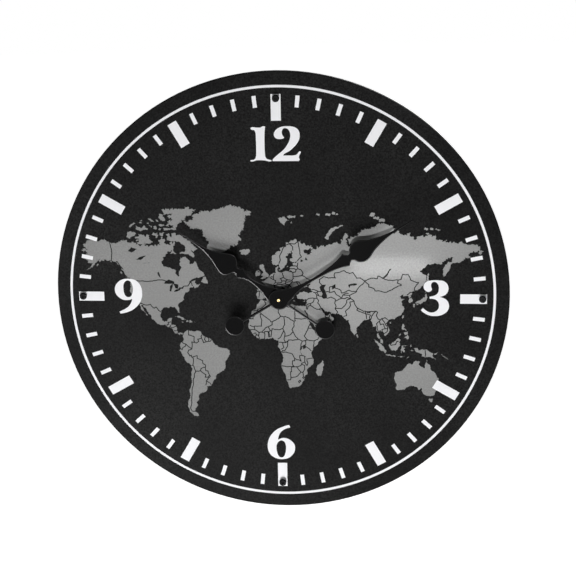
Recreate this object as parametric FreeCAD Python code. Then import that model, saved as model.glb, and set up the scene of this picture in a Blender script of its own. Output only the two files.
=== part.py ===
import FreeCAD, Part
import math
import os

# World map wall clock. Millimetres, +Z up, the dial faces -Y and the wall is the plane Y = 0.
# The origin is the centre of the keyhole in the hanger plate, where the wall screw goes in.
# Inside this script each piece is placed about the hand axis, which runs along Y through X = Z = 0.
# The export moves everything down, so that the keyhole comes to the origin.

V = FreeCAD.Vector
out_dir = "parts"
os.makedirs(out_dir, exist_ok=True)

# Main sizes
dial_diameter = 340.0
dial_thickness = 5.0
edge_round = 0.6
overrun = 1.0
thread_fit = 0.04
running_fit = 0.05
seat_gap = 0.1

# Time shown at rest
hour_shown = 10
minute_shown = 9
second_shown = 42
seconds_per_minute = 60
turn = 360.0
minutes_per_turn = 60
hours_per_turn = 12

# Dial screws, on the circle of the hour bars
screw_inside_hoop = 8.8
screw_count = 4
screw_radius = 1.5
screw_head_radius = 2.7
screw_head_height = 1.5
screw_socket_radius = 1.1
screw_socket_depth = 0.9
screw_clearance = 0.15
screw_tip_beyond_nut = 0.6
nut_across_flats = 5.5
nut_height = 2.4
side_count = 6

# Rear hoop with its ears
hoop_inside_rim = 11.0
hoop_wall = 1.6
ear_thickness = 1.6
ear_width = 14.0
ear_reach_in = 6.5

# Hanger plate with its keyhole
keyhole_below_hoop = 18.0
keyhole_radius = 5.0
keyhole_slot_width = 5.0
keyhole_slot_rise = 9.0
hanger_thickness = 1.5
hanger_width = 36.0
hanger_below_keyhole = 10.0
hanger_corner = 4.0
hanger_flange_depth = 9.0
hanger_flange_degrees = 14.0
rivet_degrees = 4.5
rivet_radius = 1.5
rivet_head_radius = 2.4
rivet_head_height = 0.8
rivet_fit = 0.03

# Movement case
case_above_axis = 28.0
case_wall = 1.5
case_corner = 2.5
rubber_thickness = 1.0
rubber_radius = 14.0
bay_below_centre_wheel = 2.84
bay_play = 0.3
cover_thickness = 1.5
cover_lip_depth = 1.0
cover_lip_width = 1.0
latch_width = 5.0
latch_depth = 1.1
latch_thickness = 0.6

# Threaded bushing, washer and nut at the dial's centre
bushing_radius = 3.85
bushing_wall = 0.8
bushing_flange_radius = 5.5
bushing_flange_thickness = 0.8
bushing_above_dial = 2.9
dial_hole_clearance = 0.2
fixing_washer_radius = 8.0
fixing_washer_thickness = 0.4
fixing_nut_flats = 12.0
fixing_nut_height = 2.0

# Arbor, hour pipe and hands
arbor_radius = 1.3
arbor_rear_radius = 1.0
arbor_above_dial = 7.4
arbor_tip_round = 0.35
pipe_radius = 2.6
pipe_wall = 0.9
pipe_above_dial = 4.5
hand_thickness = 0.8
hour_hand_above_dial = 3.5
minute_hand_above_dial = 5.6
bush_wall = 1.3
bush_height = 0.6
press_fit = 0.02

minute_hand_length = 118.5
minute_spade_half_width = 8.3
minute_hub_radius = 7.6
minute_tail_length = 39.5
hour_hand_length = 90.5
hour_spade_half_width = 8.6
hour_hub_radius = 8.2
hour_tail_length = 41.5
tail_disc_radius = 7.5
tail_bar_half_width = 0.95

# Wheel train. Each wheel and pinion has its teeth, and each meshing pair its module.
motion_module = 0.4
train_module = 0.28
second_module = 0.35
cannon_teeth = 12
motion_wheel_teeth = 36
motion_pinion_teeth = 10
hour_wheel_teeth = 40
knob_pinion_teeth = 12
centre_teeth = 64
third_teeth = 60
second_teeth = 40
fifth_teeth = 48
pinion_teeth = 8
wheel_thickness = 1.0
pinion_overlap = 0.3
pivot_radius = 0.4
axle_radius = 0.7
pivot_seat = 0.9
web_thickness = 0.5

# Directions between wheel centres, in degrees clockwise from 12 as seen from the front
motion_direction = 50.0
knob_direction = 125.0
third_direction = -60.0
second_direction = -10.0
fifth_direction = 80.0
rotor_direction = 85.0

# Layers of the train, each measured from the inside of the case front to the wheel's front face
layer_gap = 0.6
middle_plate_thickness = 1.0
bearing_floor = 0.35
hour_layer = 0.5
motion_layer = hour_layer + wheel_thickness + layer_gap
middle_plate_layer = motion_layer + wheel_thickness + layer_gap
centre_layer = middle_plate_layer + middle_plate_thickness + layer_gap
third_layer = centre_layer + wheel_thickness + layer_gap
second_layer = third_layer + wheel_thickness + layer_gap
fifth_layer = second_layer + wheel_thickness + layer_gap

# Stepping motor and circuit
magnet_radius = 2.9
magnet_thickness = 2.6
rotor_gap = 0.5
stator_ring_width = 1.8
stator_thickness = 1.0
stator_arm_width = 4.0
coil_inside_wall = 4.5
coil_radius = 2.4
bobbin_radius = 2.5
bobbin_flange = 0.7
bobbin_tube_radius = 1.3
core_half_width = 0.8
stator_low = 2.6
stator_below_wall = 2.1
board_thickness = 0.8
board_inside_wall = 1.5
board_above_floor = 0.7
board_width = 7.0
board_post_radius = 1.2
board_post_from_end = 4.0
can_radius = 1.0
can_length = 6.0
chip_radius = 2.4
chip_height = 0.9

# Battery and its contacts
cell_radius = 7.05
cell_length = 49.2
cell_cap_radius = 2.7
cell_cap_height = 1.3
cell_edge_round = 0.8
cell_end_play = 0.3
contact_thickness = 0.3
contact_width = 8.0

# Setting knob
knob_radius = 6.0
knob_height = 1.9
knob_shaft_radius = 1.5
knob_grooves = 24
knob_groove_radius = 0.4
knob_gap = 0.3
knob_to_wall = 0.8

# Places that follow from the sizes above. Y grows from the dial's front to the wall.
train_depth = fifth_layer + wheel_thickness + pinion_overlap + axle_radius / 2 + pivot_seat + bearing_floor
case_depth = case_wall + train_depth + cover_thickness
stand_off = rubber_thickness + case_depth + knob_gap + knob_height + knob_to_wall
wall = 0.0
dial_back = wall - stand_off
dial_front = dial_back - dial_thickness
case_front = dial_back + rubber_thickness
case_inside = case_front + case_wall
case_rear = case_front + case_depth
cover_front = case_rear - cover_thickness
half_case = cell_length / 2 + cell_cap_height + cell_end_play + contact_thickness + case_wall
case_high = case_above_axis
bay_top = -train_module * centre_teeth / 2 - bay_below_centre_wheel
case_low = bay_top - 2 * cell_radius - 2 * bay_play - case_wall
housing_floor = bay_top
floor_face = housing_floor + case_wall
side_face = half_case - case_wall
coil_offset = side_face - coil_inside_wall
stator_high = case_high - case_wall - stator_below_wall
coil_low = stator_low + stator_arm_width
coil_high = stator_high - stator_arm_width
board_half_length = side_face - board_inside_wall
board_low = floor_face + board_above_floor
board_high = board_low + board_width
board_layer = second_layer + wheel_thickness + seat_gap
board_post_offset = board_half_length - board_post_from_end
ear_rear = dial_back + ear_thickness
nut_rear = ear_rear + nut_height
hoop_radius = dial_diameter / 2 - hoop_inside_rim
hoop_inside = hoop_radius - hoop_wall
screw_circle_radius = hoop_radius - screw_inside_hoop
hang_drop = hoop_radius - keyhole_below_hoop
middle_front = case_inside + middle_plate_layer
middle_rear = middle_front + middle_plate_thickness
hour_bush_bore = pipe_radius + press_fit
minute_bush_bore = arbor_radius + press_fit

# Shares of a hand's outline: how far from the hand axis to the tip, and how wide against the spade.
# The root of the stem lies in the hub, at a share of the hub's radius.
minute_root_shares = (0.935, 0.40)
minute_stem_shares = ((0.105, 0.24), (0.17, 0.135), (0.25, 0.115), (0.32, 0.155), (0.38, 0.215), (0.43, 0.33),
                      (0.47, 0.48), (0.500, 0.64))
minute_neck_shares = ((0.514, 0.40), (0.528, 0.285), (0.542, 0.40))
minute_spade_shares = ((0.550, 0.60), (0.562, 0.80), (0.585, 0.96), (0.610, 1.00), (0.638, 0.89),
                       (0.668, 0.665), (0.703, 0.47), (0.771, 0.225), (0.834, 0.105), (0.90, 0.06))
hour_root_shares = (0.66, 0.46)
hour_stem_shares = ((0.105, 0.32), (0.16, 0.19), (0.23, 0.12), (0.285, 0.13), (0.33, 0.235), (0.362, 0.39),
                    (0.388, 0.56))
hour_neck_shares = ((0.405, 0.37), (0.425, 0.285), (0.443, 0.40))
hour_spade_shares = ((0.455, 0.62), (0.475, 0.86), (0.505, 1.00), (0.54, 0.955), (0.57, 0.82), (0.608, 0.63),
                     (0.69, 0.30), (0.775, 0.125), (0.86, 0.07), (0.93, 0.05))
tip_half_width = 0.22

# Shares of the module and of the tooth pitch that give the tooth form
wheel_addendum_share = 0.70
wheel_dedendum_share = 1.15
pinion_addendum_share = 0.72
pinion_dedendum_share = 1.05
tooth_width_share = 0.43
tip_width_share = 0.20
root_width_share = 0.62
mid_height_share = 0.45
mid_width_share = 0.36


def disc(radius, front, rear, x=0.0, z=0.0):
    return Part.makeCylinder(radius, rear - front, V(x, front, z), V(0, 1, 0))


def ring(outer, inner, front, rear, x=0.0, z=0.0):
    hole = disc(inner, front - overrun, rear + overrun, x, z)
    return disc(outer, front, rear, x, z).cut(hole)


def block(low_x, high_x, front, rear, low_z, high_z):
    corner = V(low_x, front, low_z)
    return Part.makeBox(high_x - low_x, rear - front, high_z - low_z, corner)


def prism(points, front, rear):
    corners = [V(x, front, z) for x, z in points]
    wire = Part.makePolygon(corners + corners[:1])
    return Part.Face(wire).extrude(V(0, rear - front, 0))


def polygon_points(count, flats, x=0.0, z=0.0):
    corner_radius = flats / 2 / math.cos(math.pi / count)
    angles = [2 * math.pi * (i + 0.5) / count for i in range(count)]
    return [(x + corner_radius * math.sin(a), z + corner_radius * math.cos(a)) for a in angles]


def polar(radius, degrees, centre=(0.0, 0.0)):
    angle = math.radians(degrees)
    return centre[0] + radius * math.sin(angle), centre[1] + radius * math.cos(angle)


def turned(shape, degrees, centre=(0.0, 0.0)):
    copy = shape.copy()
    copy.rotate(V(centre[0], 0, centre[1]), V(0, 1, 0), degrees)
    return copy


def around(shape, count, first=0.0):
    return [turned(shape, first + i * turn / count) for i in range(count)]


def fused(shapes):
    result = shapes[0]
    if len(shapes) > 1:
        result = result.multiFuse(shapes[1:])
    return result.removeSplitter()


def save(name, shapes):
    solids = []
    for shape in shapes if isinstance(shapes, list) else [shapes]:
        solids += shape.Solids
    node = solids[0] if len(solids) == 1 else Part.makeCompound(solids)
    node = node.copy()
    node.translate(V(0, 0, -hang_drop))
    node.exportStep(os.path.join(out_dir, name + ".step"))
    print(name, "solids", len(solids), "volume", round(sum(s.Volume for s in solids), 1))


# Teeth: straight flanks in three steps, thinner than the pitch allows, so that pairs run free
def tooth_outline(teeth, module, addendum_share, dedendum_share, phase):
    pitch_radius = module * teeth / 2
    tip_radius = pitch_radius + module * addendum_share
    root_radius = pitch_radius - module * dedendum_share
    mid_radius = pitch_radius + module * addendum_share * mid_height_share
    steps = ((root_radius, root_width_share), (pitch_radius, tooth_width_share),
             (mid_radius, mid_width_share), (tip_radius, tip_width_share))
    half_sides = [(radius, share * math.pi * module / 2 / pitch_radius) for radius, share in steps]
    points = []
    for i in range(teeth):
        middle = math.radians(phase) + 2 * math.pi * i / teeth
        left = [(radius, middle - half) for radius, half in half_sides]
        right = [(radius, middle + half) for radius, half in reversed(half_sides)]
        points += left + right
    return [(radius * math.sin(angle), radius * math.cos(angle)) for radius, angle in points]


def gear(teeth, module, front, rear, phase, centre, is_pinion=False):
    addendum = pinion_addendum_share if is_pinion else wheel_addendum_share
    dedendum = pinion_dedendum_share if is_pinion else wheel_dedendum_share
    outline = tooth_outline(teeth, module, addendum, dedendum, phase)
    return prism([(x + centre[0], z + centre[1]) for x, z in outline], front, rear)


def phase_in_mesh(direction, driver_teeth, driver_phase, teeth):
    # A tooth of one meets a gap of the other on the line between the centres
    turns_past = (direction - driver_phase) * driver_teeth / turn
    return direction + turn / 2 - (0.5 - turns_past) * turn / teeth


def layer(offset):
    return case_inside + offset


def wheel_with_pinion(teeth, module, wheel_layer, phase, centre, pinion_module, pinion_layer, pinion_phase,
                      front_pivot, rear_pivot):
    front = layer(wheel_layer)
    rear = front + wheel_thickness
    wheel = gear(teeth, module, front, rear, phase, centre)
    web_radius = module * teeth / 2 - 4 * module
    recess = ring(web_radius, axle_radius * 2, front - overrun, rear - web_thickness, *centre)
    wheel = wheel.cut(recess)
    low = layer(pinion_layer) - pinion_overlap
    high = layer(pinion_layer) + wheel_thickness + pinion_overlap
    pinion = gear(pinion_teeth, pinion_module, low, high, pinion_phase, centre, True)
    axle_front = front_pivot + seat_gap
    axle_rear = rear_pivot - seat_gap
    axle = disc(axle_radius, axle_front, axle_rear, *centre)
    reach = pivot_seat - seat_gap
    pivots = disc(pivot_radius, front_pivot - reach, rear_pivot + reach, *centre)
    return fused([wheel, pinion, axle, pivots])


# Centres and phases of the wheels
origin = (0.0, 0.0)
motion_distance = motion_module * (cannon_teeth + motion_wheel_teeth) / 2
hour_module_fit = 2 * motion_distance / (hour_wheel_teeth + motion_pinion_teeth)
knob_distance = motion_module * (motion_wheel_teeth + knob_pinion_teeth) / 2
third_distance = train_module * (centre_teeth + pinion_teeth) / 2
second_distance = train_module * (third_teeth + pinion_teeth) / 2
fifth_distance = second_module * (second_teeth + pinion_teeth) / 2
rotor_distance = train_module * (fifth_teeth + pinion_teeth) / 2
motion_centre = polar(motion_distance, motion_direction)
knob_centre = polar(knob_distance, knob_direction, motion_centre)
third_centre = polar(third_distance, third_direction)
second_centre = polar(second_distance, second_direction, third_centre)
fifth_centre = polar(fifth_distance, fifth_direction, second_centre)
rotor_centre = polar(rotor_distance, rotor_direction, fifth_centre)

cannon_phase = 0.0
motion_phase = phase_in_mesh(motion_direction, cannon_teeth, cannon_phase, motion_wheel_teeth)
motion_pinion_phase = 0.0
hour_phase = phase_in_mesh(motion_direction + turn / 2, motion_pinion_teeth, motion_pinion_phase,
                           hour_wheel_teeth)
knob_phase = phase_in_mesh(knob_direction, motion_wheel_teeth, motion_phase, knob_pinion_teeth)
centre_phase = 0.0
third_pinion_phase = phase_in_mesh(third_direction, centre_teeth, centre_phase, pinion_teeth)
third_phase = 0.0
second_pinion_phase = phase_in_mesh(second_direction, third_teeth, third_phase, pinion_teeth)
second_phase = 0.0
fifth_pinion_phase = phase_in_mesh(fifth_direction, second_teeth, second_phase, pinion_teeth)
fifth_phase = 0.0
rotor_phase = phase_in_mesh(rotor_direction, fifth_teeth, fifth_phase, pinion_teeth)


# Dial and what holds it
def make_dial_plate():
    plate = disc(dial_diameter / 2, dial_front, dial_back)
    rims = [edge for edge in plate.Edges if edge.Curve.TypeId == "Part::GeomCircle"]
    plate = plate.makeFillet(edge_round, rims)
    holes = [disc(bushing_radius + dial_hole_clearance, dial_front - overrun, dial_back + overrun)]
    place = polar(screw_circle_radius, 0)
    hole = disc(screw_radius + screw_clearance, dial_front - overrun, dial_back + overrun, *place)
    holes += around(hole, screw_count)
    return plate.cut(holes)


def make_dial_screws():
    place = polar(screw_circle_radius, 0)
    head = disc(screw_head_radius, dial_front - screw_head_height, dial_front, *place)
    front_edge = [edge for edge in head.Edges if edge.CenterOfMass.y < dial_front - screw_head_height / 2
                  and edge.Curve.TypeId == "Part::GeomCircle"]
    head = head.makeFillet(screw_head_height / 2, front_edge)
    socket_front = dial_front - screw_head_height
    socket = prism(polygon_points(side_count, 2 * screw_socket_radius, *place), socket_front - overrun,
                   socket_front + screw_socket_depth)
    shank = disc(screw_radius, dial_front, nut_rear + screw_tip_beyond_nut, *place)
    screw = fused([head, shank]).cut(socket)
    return around(screw, screw_count)


def make_tab_nuts():
    place = polar(screw_circle_radius, 0)
    body = prism(polygon_points(side_count, nut_across_flats, *place), ear_rear, nut_rear)
    bore = disc(screw_radius + thread_fit, ear_rear - overrun, nut_rear + overrun, *place)
    return around(body.cut(bore), screw_count)


def make_rear_hoop():
    hoop = ring(hoop_radius, hoop_inside, dial_back, wall)
    angle = rivet_degrees
    for degrees in (-angle, angle):
        hoop = hoop.cut(rivet_cylinder(rivet_radius + rivet_fit, hoop_inside - overrun, hoop_radius + overrun,
                                       degrees))
    return hoop


def make_hoop_tabs():
    half = ear_width / 2
    inner = screw_circle_radius - ear_reach_in
    ear = block(-half, half, dial_back, ear_rear, inner, hoop_radius)
    ear = ear.common(disc(hoop_inside, dial_back, ear_rear))
    uprights = [edge for edge in ear.Edges
                if edge.Length < ear_thickness + overrun / 2 and edge.CenterOfMass.z < inner + half]
    ear = ear.makeFillet(half / 2, uprights)
    place = polar(screw_circle_radius, 0)
    ear = ear.cut(disc(screw_radius + screw_clearance, dial_back - overrun, ear_rear + overrun, *place))
    return around(ear, screw_count)


def rivet_cylinder(radius, low, high, degrees):
    middle = wall - hanger_flange_depth / 2 - hanger_thickness / 2
    axis = V(0, 0, 1)
    pin = Part.makeCylinder(radius, high - low, V(0, middle, low), axis)
    return turned(pin, degrees)


def make_hanger_plate():
    half = hanger_width / 2
    plate_front = wall - hanger_thickness
    low = hang_drop - keyhole_radius - hanger_below_keyhole
    plate = block(-half, half, plate_front, wall, low, hoop_radius)
    plate = plate.common(disc(hoop_inside, plate_front, wall))
    corners = [edge for edge in plate.Edges
               if edge.Length < hanger_thickness + overrun / 2 and edge.CenterOfMass.z < low + half]
    plate = plate.makeFillet(hanger_corner, corners)
    flange_front = wall - hanger_flange_depth
    sector = [(0.0, 0.0), polar(2 * hoop_radius, -hanger_flange_degrees / 2),
              polar(2 * hoop_radius, hanger_flange_degrees / 2)]
    band = ring(hoop_inside, hoop_inside - hanger_thickness, flange_front, wall)
    flange = band.common(prism(sector, flange_front, wall))
    body = fused([plate, flange])
    slot_half = keyhole_slot_width / 2
    slot_top = hang_drop + keyhole_slot_rise - slot_half
    cuts = [disc(keyhole_radius, plate_front - overrun, wall + overrun, 0.0, hang_drop),
            block(-slot_half, slot_half, plate_front - overrun, wall + overrun, hang_drop, slot_top),
            disc(slot_half, plate_front - overrun, wall + overrun, 0.0, slot_top)]
    for degrees in (-rivet_degrees, rivet_degrees):
        cuts.append(rivet_cylinder(rivet_radius + rivet_fit, hoop_inside - hanger_thickness - overrun,
                                   hoop_inside + overrun, degrees))
    return body.cut(cuts)


def make_hanger_rivets():
    rivets = []
    inner_face = hoop_inside - hanger_thickness
    for degrees in (-rivet_degrees, rivet_degrees):
        shank = rivet_cylinder(rivet_radius, inner_face - rivet_head_height, hoop_radius + rivet_head_height,
                               degrees)
        # The heads stand on curved metal, so each is shaped to it
        inner_head = rivet_cylinder(rivet_head_radius, inner_face - rivet_head_height, hoop_inside, degrees)
        inner_head = inner_head.cut(ring(hoop_radius, inner_face, dial_back, wall))
        outer_head = rivet_cylinder(rivet_head_radius, hoop_inside, hoop_radius + rivet_head_height, degrees)
        outer_head = outer_head.cut(disc(hoop_radius, dial_back, wall))
        rivets.append(fused([shank, inner_head, outer_head]))
    return rivets


# Movement case, cover and inner plate
def rounded_block(low_x, high_x, front, rear, low_z, high_z, radius):
    body = block(low_x, high_x, front, rear, low_z, high_z)
    uprights = [edge for edge in body.Edges if abs(edge.tangentAt(edge.FirstParameter).y) > 0.5]
    return body.makeFillet(radius, uprights)


def make_movement_case():
    outer = rounded_block(-half_case, half_case, case_front, case_rear, case_low, case_high, case_corner)
    past_rear = case_rear + overrun
    past_side = half_case + overrun
    housing = block(-side_face, side_face, case_inside, past_rear, floor_face, case_high - case_wall)
    seat = block(-past_side, past_side, cover_front, past_rear, housing_floor, case_high + overrun)
    bay = block(-side_face, side_face, case_inside, past_rear, case_low + case_wall, bay_top)
    body = outer.cut([housing, seat, bay])
    flange_pocket = disc(bushing_flange_radius + seat_gap, case_front - overrun,
                         case_front + bushing_flange_thickness)
    bushing_bore = disc(bushing_radius - bushing_wall, case_front - overrun, case_inside + overrun)
    bosses = [boss(motion_centre, case_inside)]
    body = fused([body] + bosses)
    cuts = [flange_pocket, bushing_bore, pivot_bore(motion_centre, case_inside, -1), contact_slot(-1),
            contact_slot(1)]
    cuts += [latch_window(side) for side in (-1, 1)]
    return body.cut(cuts)


def boss(centre, face):
    return disc(axle_radius * 2, face, face + seat_gap, *centre)


def pivot_bore(centre, face, side):
    # A blind bearing hole that goes into a plate from its face, towards side along Y
    depth = side * (pivot_seat + seat_gap)
    front, rear = min(face - side * overrun, face + depth), max(face - side * overrun, face + depth)
    return disc(pivot_radius + running_fit, front, rear, *centre)


def contact_slot(side):
    # Where a battery contact's leg passes from the bay into the wheel housing
    middle = side * (side_face - contact_thickness / 2 - seat_gap)
    half = contact_thickness / 2 + seat_gap
    front = layer(board_layer) - contact_width / 2
    rear = layer(board_layer)
    return block(middle - half, middle + half, front - seat_gap, rear + seat_gap, bay_top - overrun,
                 floor_face + overrun)


def latch_window(side):
    middle = side * half_case
    high = case_high - case_corner - latch_width
    return block(middle - case_wall - overrun, middle + case_wall + overrun,
                 cover_front - latch_depth - seat_gap, cover_front + overrun, high - latch_width, high)


def make_movement_cover():
    plate = rounded_block(-half_case, half_case, cover_front, case_rear, housing_floor, case_high,
                          case_corner)
    edge = side_face - seat_gap
    floor = floor_face + seat_gap
    ceiling = case_high - case_wall - seat_gap
    lip_front = cover_front - cover_lip_depth
    lip = block(-edge, edge, lip_front, cover_front, floor, ceiling)
    well = block(-edge + cover_lip_width, edge - cover_lip_width, lip_front - overrun, cover_front,
                 floor + cover_lip_width, ceiling - cover_lip_width)
    lip = lip.cut(well)
    bosses = []
    bores = []
    for centre, wheel_layer in ((third_centre, third_layer), (second_centre, second_layer),
                                (fifth_centre, fifth_layer), (rotor_centre, fifth_layer)):
        bosses.append(disc(axle_radius * 2, rear_bearing(wheel_layer), cover_front, *centre))
        bores.append(pivot_bore(centre, rear_bearing(wheel_layer), 1))
    arbor_boss = disc(arbor_rear_radius * 2, arbor_rear_end() - pivot_seat, cover_front)
    arbor_bore = disc(arbor_rear_radius + running_fit, arbor_rear_end() - pivot_seat - overrun,
                      arbor_rear_end() + seat_gap)
    latches = []
    for side in (-1, 1):
        middle = side * (half_case - case_wall / 2)
        high = case_high - case_corner - latch_width - seat_gap
        latches.append(block(middle - latch_thickness / 2, middle + latch_thickness / 2,
                             cover_front - latch_depth, cover_front, high - latch_width + 2 * seat_gap, high))
    body = fused([plate, lip, arbor_boss] + bosses + latches)
    knob_bore = disc(knob_shaft_radius + running_fit, cover_front - overrun - cover_lip_depth,
                     case_rear + overrun, *knob_centre)
    return body.cut(bores + [arbor_bore, knob_bore])


def rear_bearing(wheel_layer):
    return layer(wheel_layer) + wheel_thickness + pinion_overlap + axle_radius / 2


def arbor_rear_end():
    return cover_front - cover_lip_depth


def make_middle_plate():
    edge = side_face - seat_gap
    floor = floor_face + seat_gap
    ceiling = case_high - case_wall - seat_gap
    plate = block(-edge, edge, middle_front, middle_rear, floor, ceiling)
    posts = [disc(board_post_radius, middle_rear, layer(board_layer), x, (board_low + board_high) / 2)
             for x in (-board_post_offset, board_post_offset)]
    feet = [block(x, x + case_wall, case_inside, middle_front, z, z + case_wall)
            for x in (-edge, edge - case_wall) for z in (floor, ceiling - case_wall)]
    stator_rest = layer(third_layer)
    stator_post_x = rotor_centre[0] + magnet_radius + stator_ring_width * 2
    for z in (stator_high - stator_arm_width / 2, stator_low + stator_arm_width / 2):
        posts.append(disc(board_post_radius, middle_rear, stator_rest, stator_post_x, z))
    cuts = [pivot_bore(motion_centre, middle_front, 1)]
    holes = [(arbor_radius + 2 * running_fit, origin), (knob_shaft_radius + running_fit, knob_centre)]
    for centre in (third_centre, second_centre, fifth_centre, rotor_centre):
        holes.append((pivot_radius + running_fit, centre))
    for radius, centre in holes:
        cuts.append(disc(radius, middle_front - overrun, middle_rear + overrun, *centre))
    return fused([plate] + posts + feet).cut(cuts)


# What clamps the movement to the dial
def make_threaded_bushing():
    front = dial_front - bushing_above_dial
    tube = ring(bushing_radius, bushing_radius - bushing_wall, front, case_front + bushing_flange_thickness)
    flange = ring(bushing_flange_radius, bushing_radius - bushing_wall, case_front,
                  case_front + bushing_flange_thickness)
    return fused([tube, flange])


def make_rubber_washer():
    return ring(rubber_radius, bushing_radius + seat_gap, dial_back, case_front)


def make_fixing_washer():
    front = dial_front - fixing_washer_thickness
    return ring(fixing_washer_radius, bushing_radius + seat_gap, front, dial_front)


def make_fixing_nut():
    rear = dial_front - fixing_washer_thickness
    front = rear - fixing_nut_height
    body = prism(polygon_points(side_count, fixing_nut_flats), front, rear)
    return body.cut(disc(bushing_radius + thread_fit, front - overrun, rear + overrun))


# Hands
def blade(length, half_width, hub_radius, root, stem, neck, spade, front, rear):
    def side(points, sign):
        return [V(sign * share * half_width, front, along * length) for along, share in points]

    def stem_side(sign):
        root_point = V(sign * root[1] * half_width, front, root[0] * hub_radius)
        return [root_point] + side(stem, sign)

    def curve(points):
        spline = Part.BSplineCurve()
        spline.interpolate(points)
        return spline.toShape()

    tip = length
    edges = []
    for sign in (-1, 1):
        stem_points = stem_side(sign)
        neck_points = [stem_points[-1]] + side(neck, sign)
        spade_points = [neck_points[-1]] + side(spade, sign) + [V(sign * tip_half_width, front, tip)]
        edges.append([curve(stem_points), curve(neck_points), curve(spade_points)])
    left_start = stem_side(-1)[0]
    right_start = stem_side(1)[0]
    left_tip = V(-tip_half_width, front, tip)
    right_tip = V(tip_half_width, front, tip)
    closing = [Part.makeLine(left_tip, right_tip), Part.makeLine(right_start, left_start)]
    outline = edges[0] + [closing[0]] + list(reversed(edges[1])) + [closing[1]]
    wire = Part.Wire(Part.__sortEdges__(outline))
    return Part.Face(wire).extrude(V(0, rear - front, 0))


def make_hand(length, half_width, root, stem, neck, spade, hub_radius, tail_length, above_dial, hole_radius,
              degrees):
    rear = dial_front - above_dial
    front = rear - hand_thickness
    body = blade(length, half_width, hub_radius, root, stem, neck, spade, front, rear)
    hub = disc(hub_radius, front, rear)
    tail = block(-tail_bar_half_width, tail_bar_half_width, front, rear, -tail_length, 0)
    weight = disc(tail_disc_radius, front, rear, 0.0, -tail_length)
    hand = fused([body, hub, tail, weight])
    hand = hand.cut(disc(hole_radius, front - overrun, rear + overrun))
    return turned(hand, degrees)


minutes_shown = minute_shown + second_shown / seconds_per_minute
minute_degrees = minutes_shown * turn / minutes_per_turn
hour_degrees = (hour_shown + minutes_shown / minutes_per_turn) * turn / hours_per_turn


def make_hour_hand():
    return make_hand(hour_hand_length, hour_spade_half_width, hour_root_shares, hour_stem_shares,
                     hour_neck_shares, hour_spade_shares, hour_hub_radius, hour_tail_length,
                     hour_hand_above_dial, hour_bush_bore + bush_wall + rivet_fit, hour_degrees)


def make_minute_hand():
    return make_hand(minute_hand_length, minute_spade_half_width, minute_root_shares, minute_stem_shares,
                     minute_neck_shares, minute_spade_shares, minute_hub_radius, minute_tail_length,
                     minute_hand_above_dial, minute_bush_bore + bush_wall + rivet_fit, minute_degrees)


def make_bush(inner_radius, above_dial):
    # The collar is riveted into the hand, so its flange lies behind it
    rear = dial_front - above_dial
    front = rear - hand_thickness
    sleeve = ring(inner_radius + bush_wall, inner_radius, front, rear + bush_height)
    flange = ring(inner_radius + 2 * bush_wall, inner_radius, rear, rear + bush_height)
    return fused([sleeve, flange])


# Arbor and wheels
def make_minute_arbor():
    front = dial_front - arbor_above_dial
    rear = arbor_rear_end()
    shoulder = layer(centre_layer)
    long_part = disc(arbor_radius, front, shoulder)
    tip_edge = [edge for edge in long_part.Edges if edge.CenterOfMass.y < front + arbor_tip_round
                and edge.Curve.TypeId == "Part::GeomCircle"]
    long_part = long_part.makeFillet(arbor_tip_round, tip_edge)
    rear_part = disc(arbor_rear_radius, shoulder, rear)
    low = layer(motion_layer) - pinion_overlap
    high = layer(motion_layer) + wheel_thickness + pinion_overlap
    cannon = gear(cannon_teeth, motion_module, low, high, cannon_phase, origin, True)
    return fused([long_part, rear_part, cannon])


def make_hour_wheel():
    front = layer(hour_layer)
    rear = front + wheel_thickness
    wheel = gear(hour_wheel_teeth, hour_module_fit, front, rear, hour_phase, origin)
    pipe = disc(pipe_radius, dial_front - pipe_above_dial, rear)
    bore = disc(pipe_radius - pipe_wall, dial_front - pipe_above_dial - overrun, rear + overrun)
    return fused([wheel, pipe]).cut(bore)


def make_motion_wheel():
    front = layer(motion_layer)
    rear = front + wheel_thickness
    wheel = gear(motion_wheel_teeth, motion_module, front, rear, motion_phase, motion_centre)
    low = layer(hour_layer) - pinion_overlap / 2
    pinion = gear(motion_pinion_teeth, hour_module_fit, low, front, motion_pinion_phase, motion_centre, True)
    pivots = disc(pivot_radius, case_inside - pivot_seat, middle_front + pivot_seat, *motion_centre)
    axle = disc(axle_radius, case_inside + 2 * seat_gap, middle_front - seat_gap, *motion_centre)
    return fused([wheel, pinion, pivots, axle])


def make_centre_wheel():
    front = layer(centre_layer)
    rear = front + wheel_thickness
    wheel = gear(centre_teeth, train_module, front, rear, centre_phase, origin)
    hub = disc(arbor_rear_radius * 2, front, rear + wheel_thickness / 2)
    bore = disc(arbor_rear_radius + running_fit, front - overrun, rear + overrun)
    return fused([wheel, hub]).cut(bore)


def make_third_wheel():
    return wheel_with_pinion(third_teeth, train_module, third_layer, third_phase, third_centre, train_module,
                             centre_layer, third_pinion_phase, middle_rear, rear_bearing(third_layer))


def make_second_wheel():
    return wheel_with_pinion(second_teeth, second_module, second_layer, second_phase, second_centre,
                             train_module, third_layer, second_pinion_phase, middle_rear,
                             rear_bearing(second_layer))


def make_fifth_wheel():
    return wheel_with_pinion(fifth_teeth, train_module, fifth_layer, fifth_phase, fifth_centre, second_module,
                             second_layer, fifth_pinion_phase, middle_rear, rear_bearing(fifth_layer))


# Stepping motor
def stator_front():
    return layer(third_layer)


def magnet_front():
    return stator_front() + stator_thickness / 2 - magnet_thickness / 2


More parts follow.
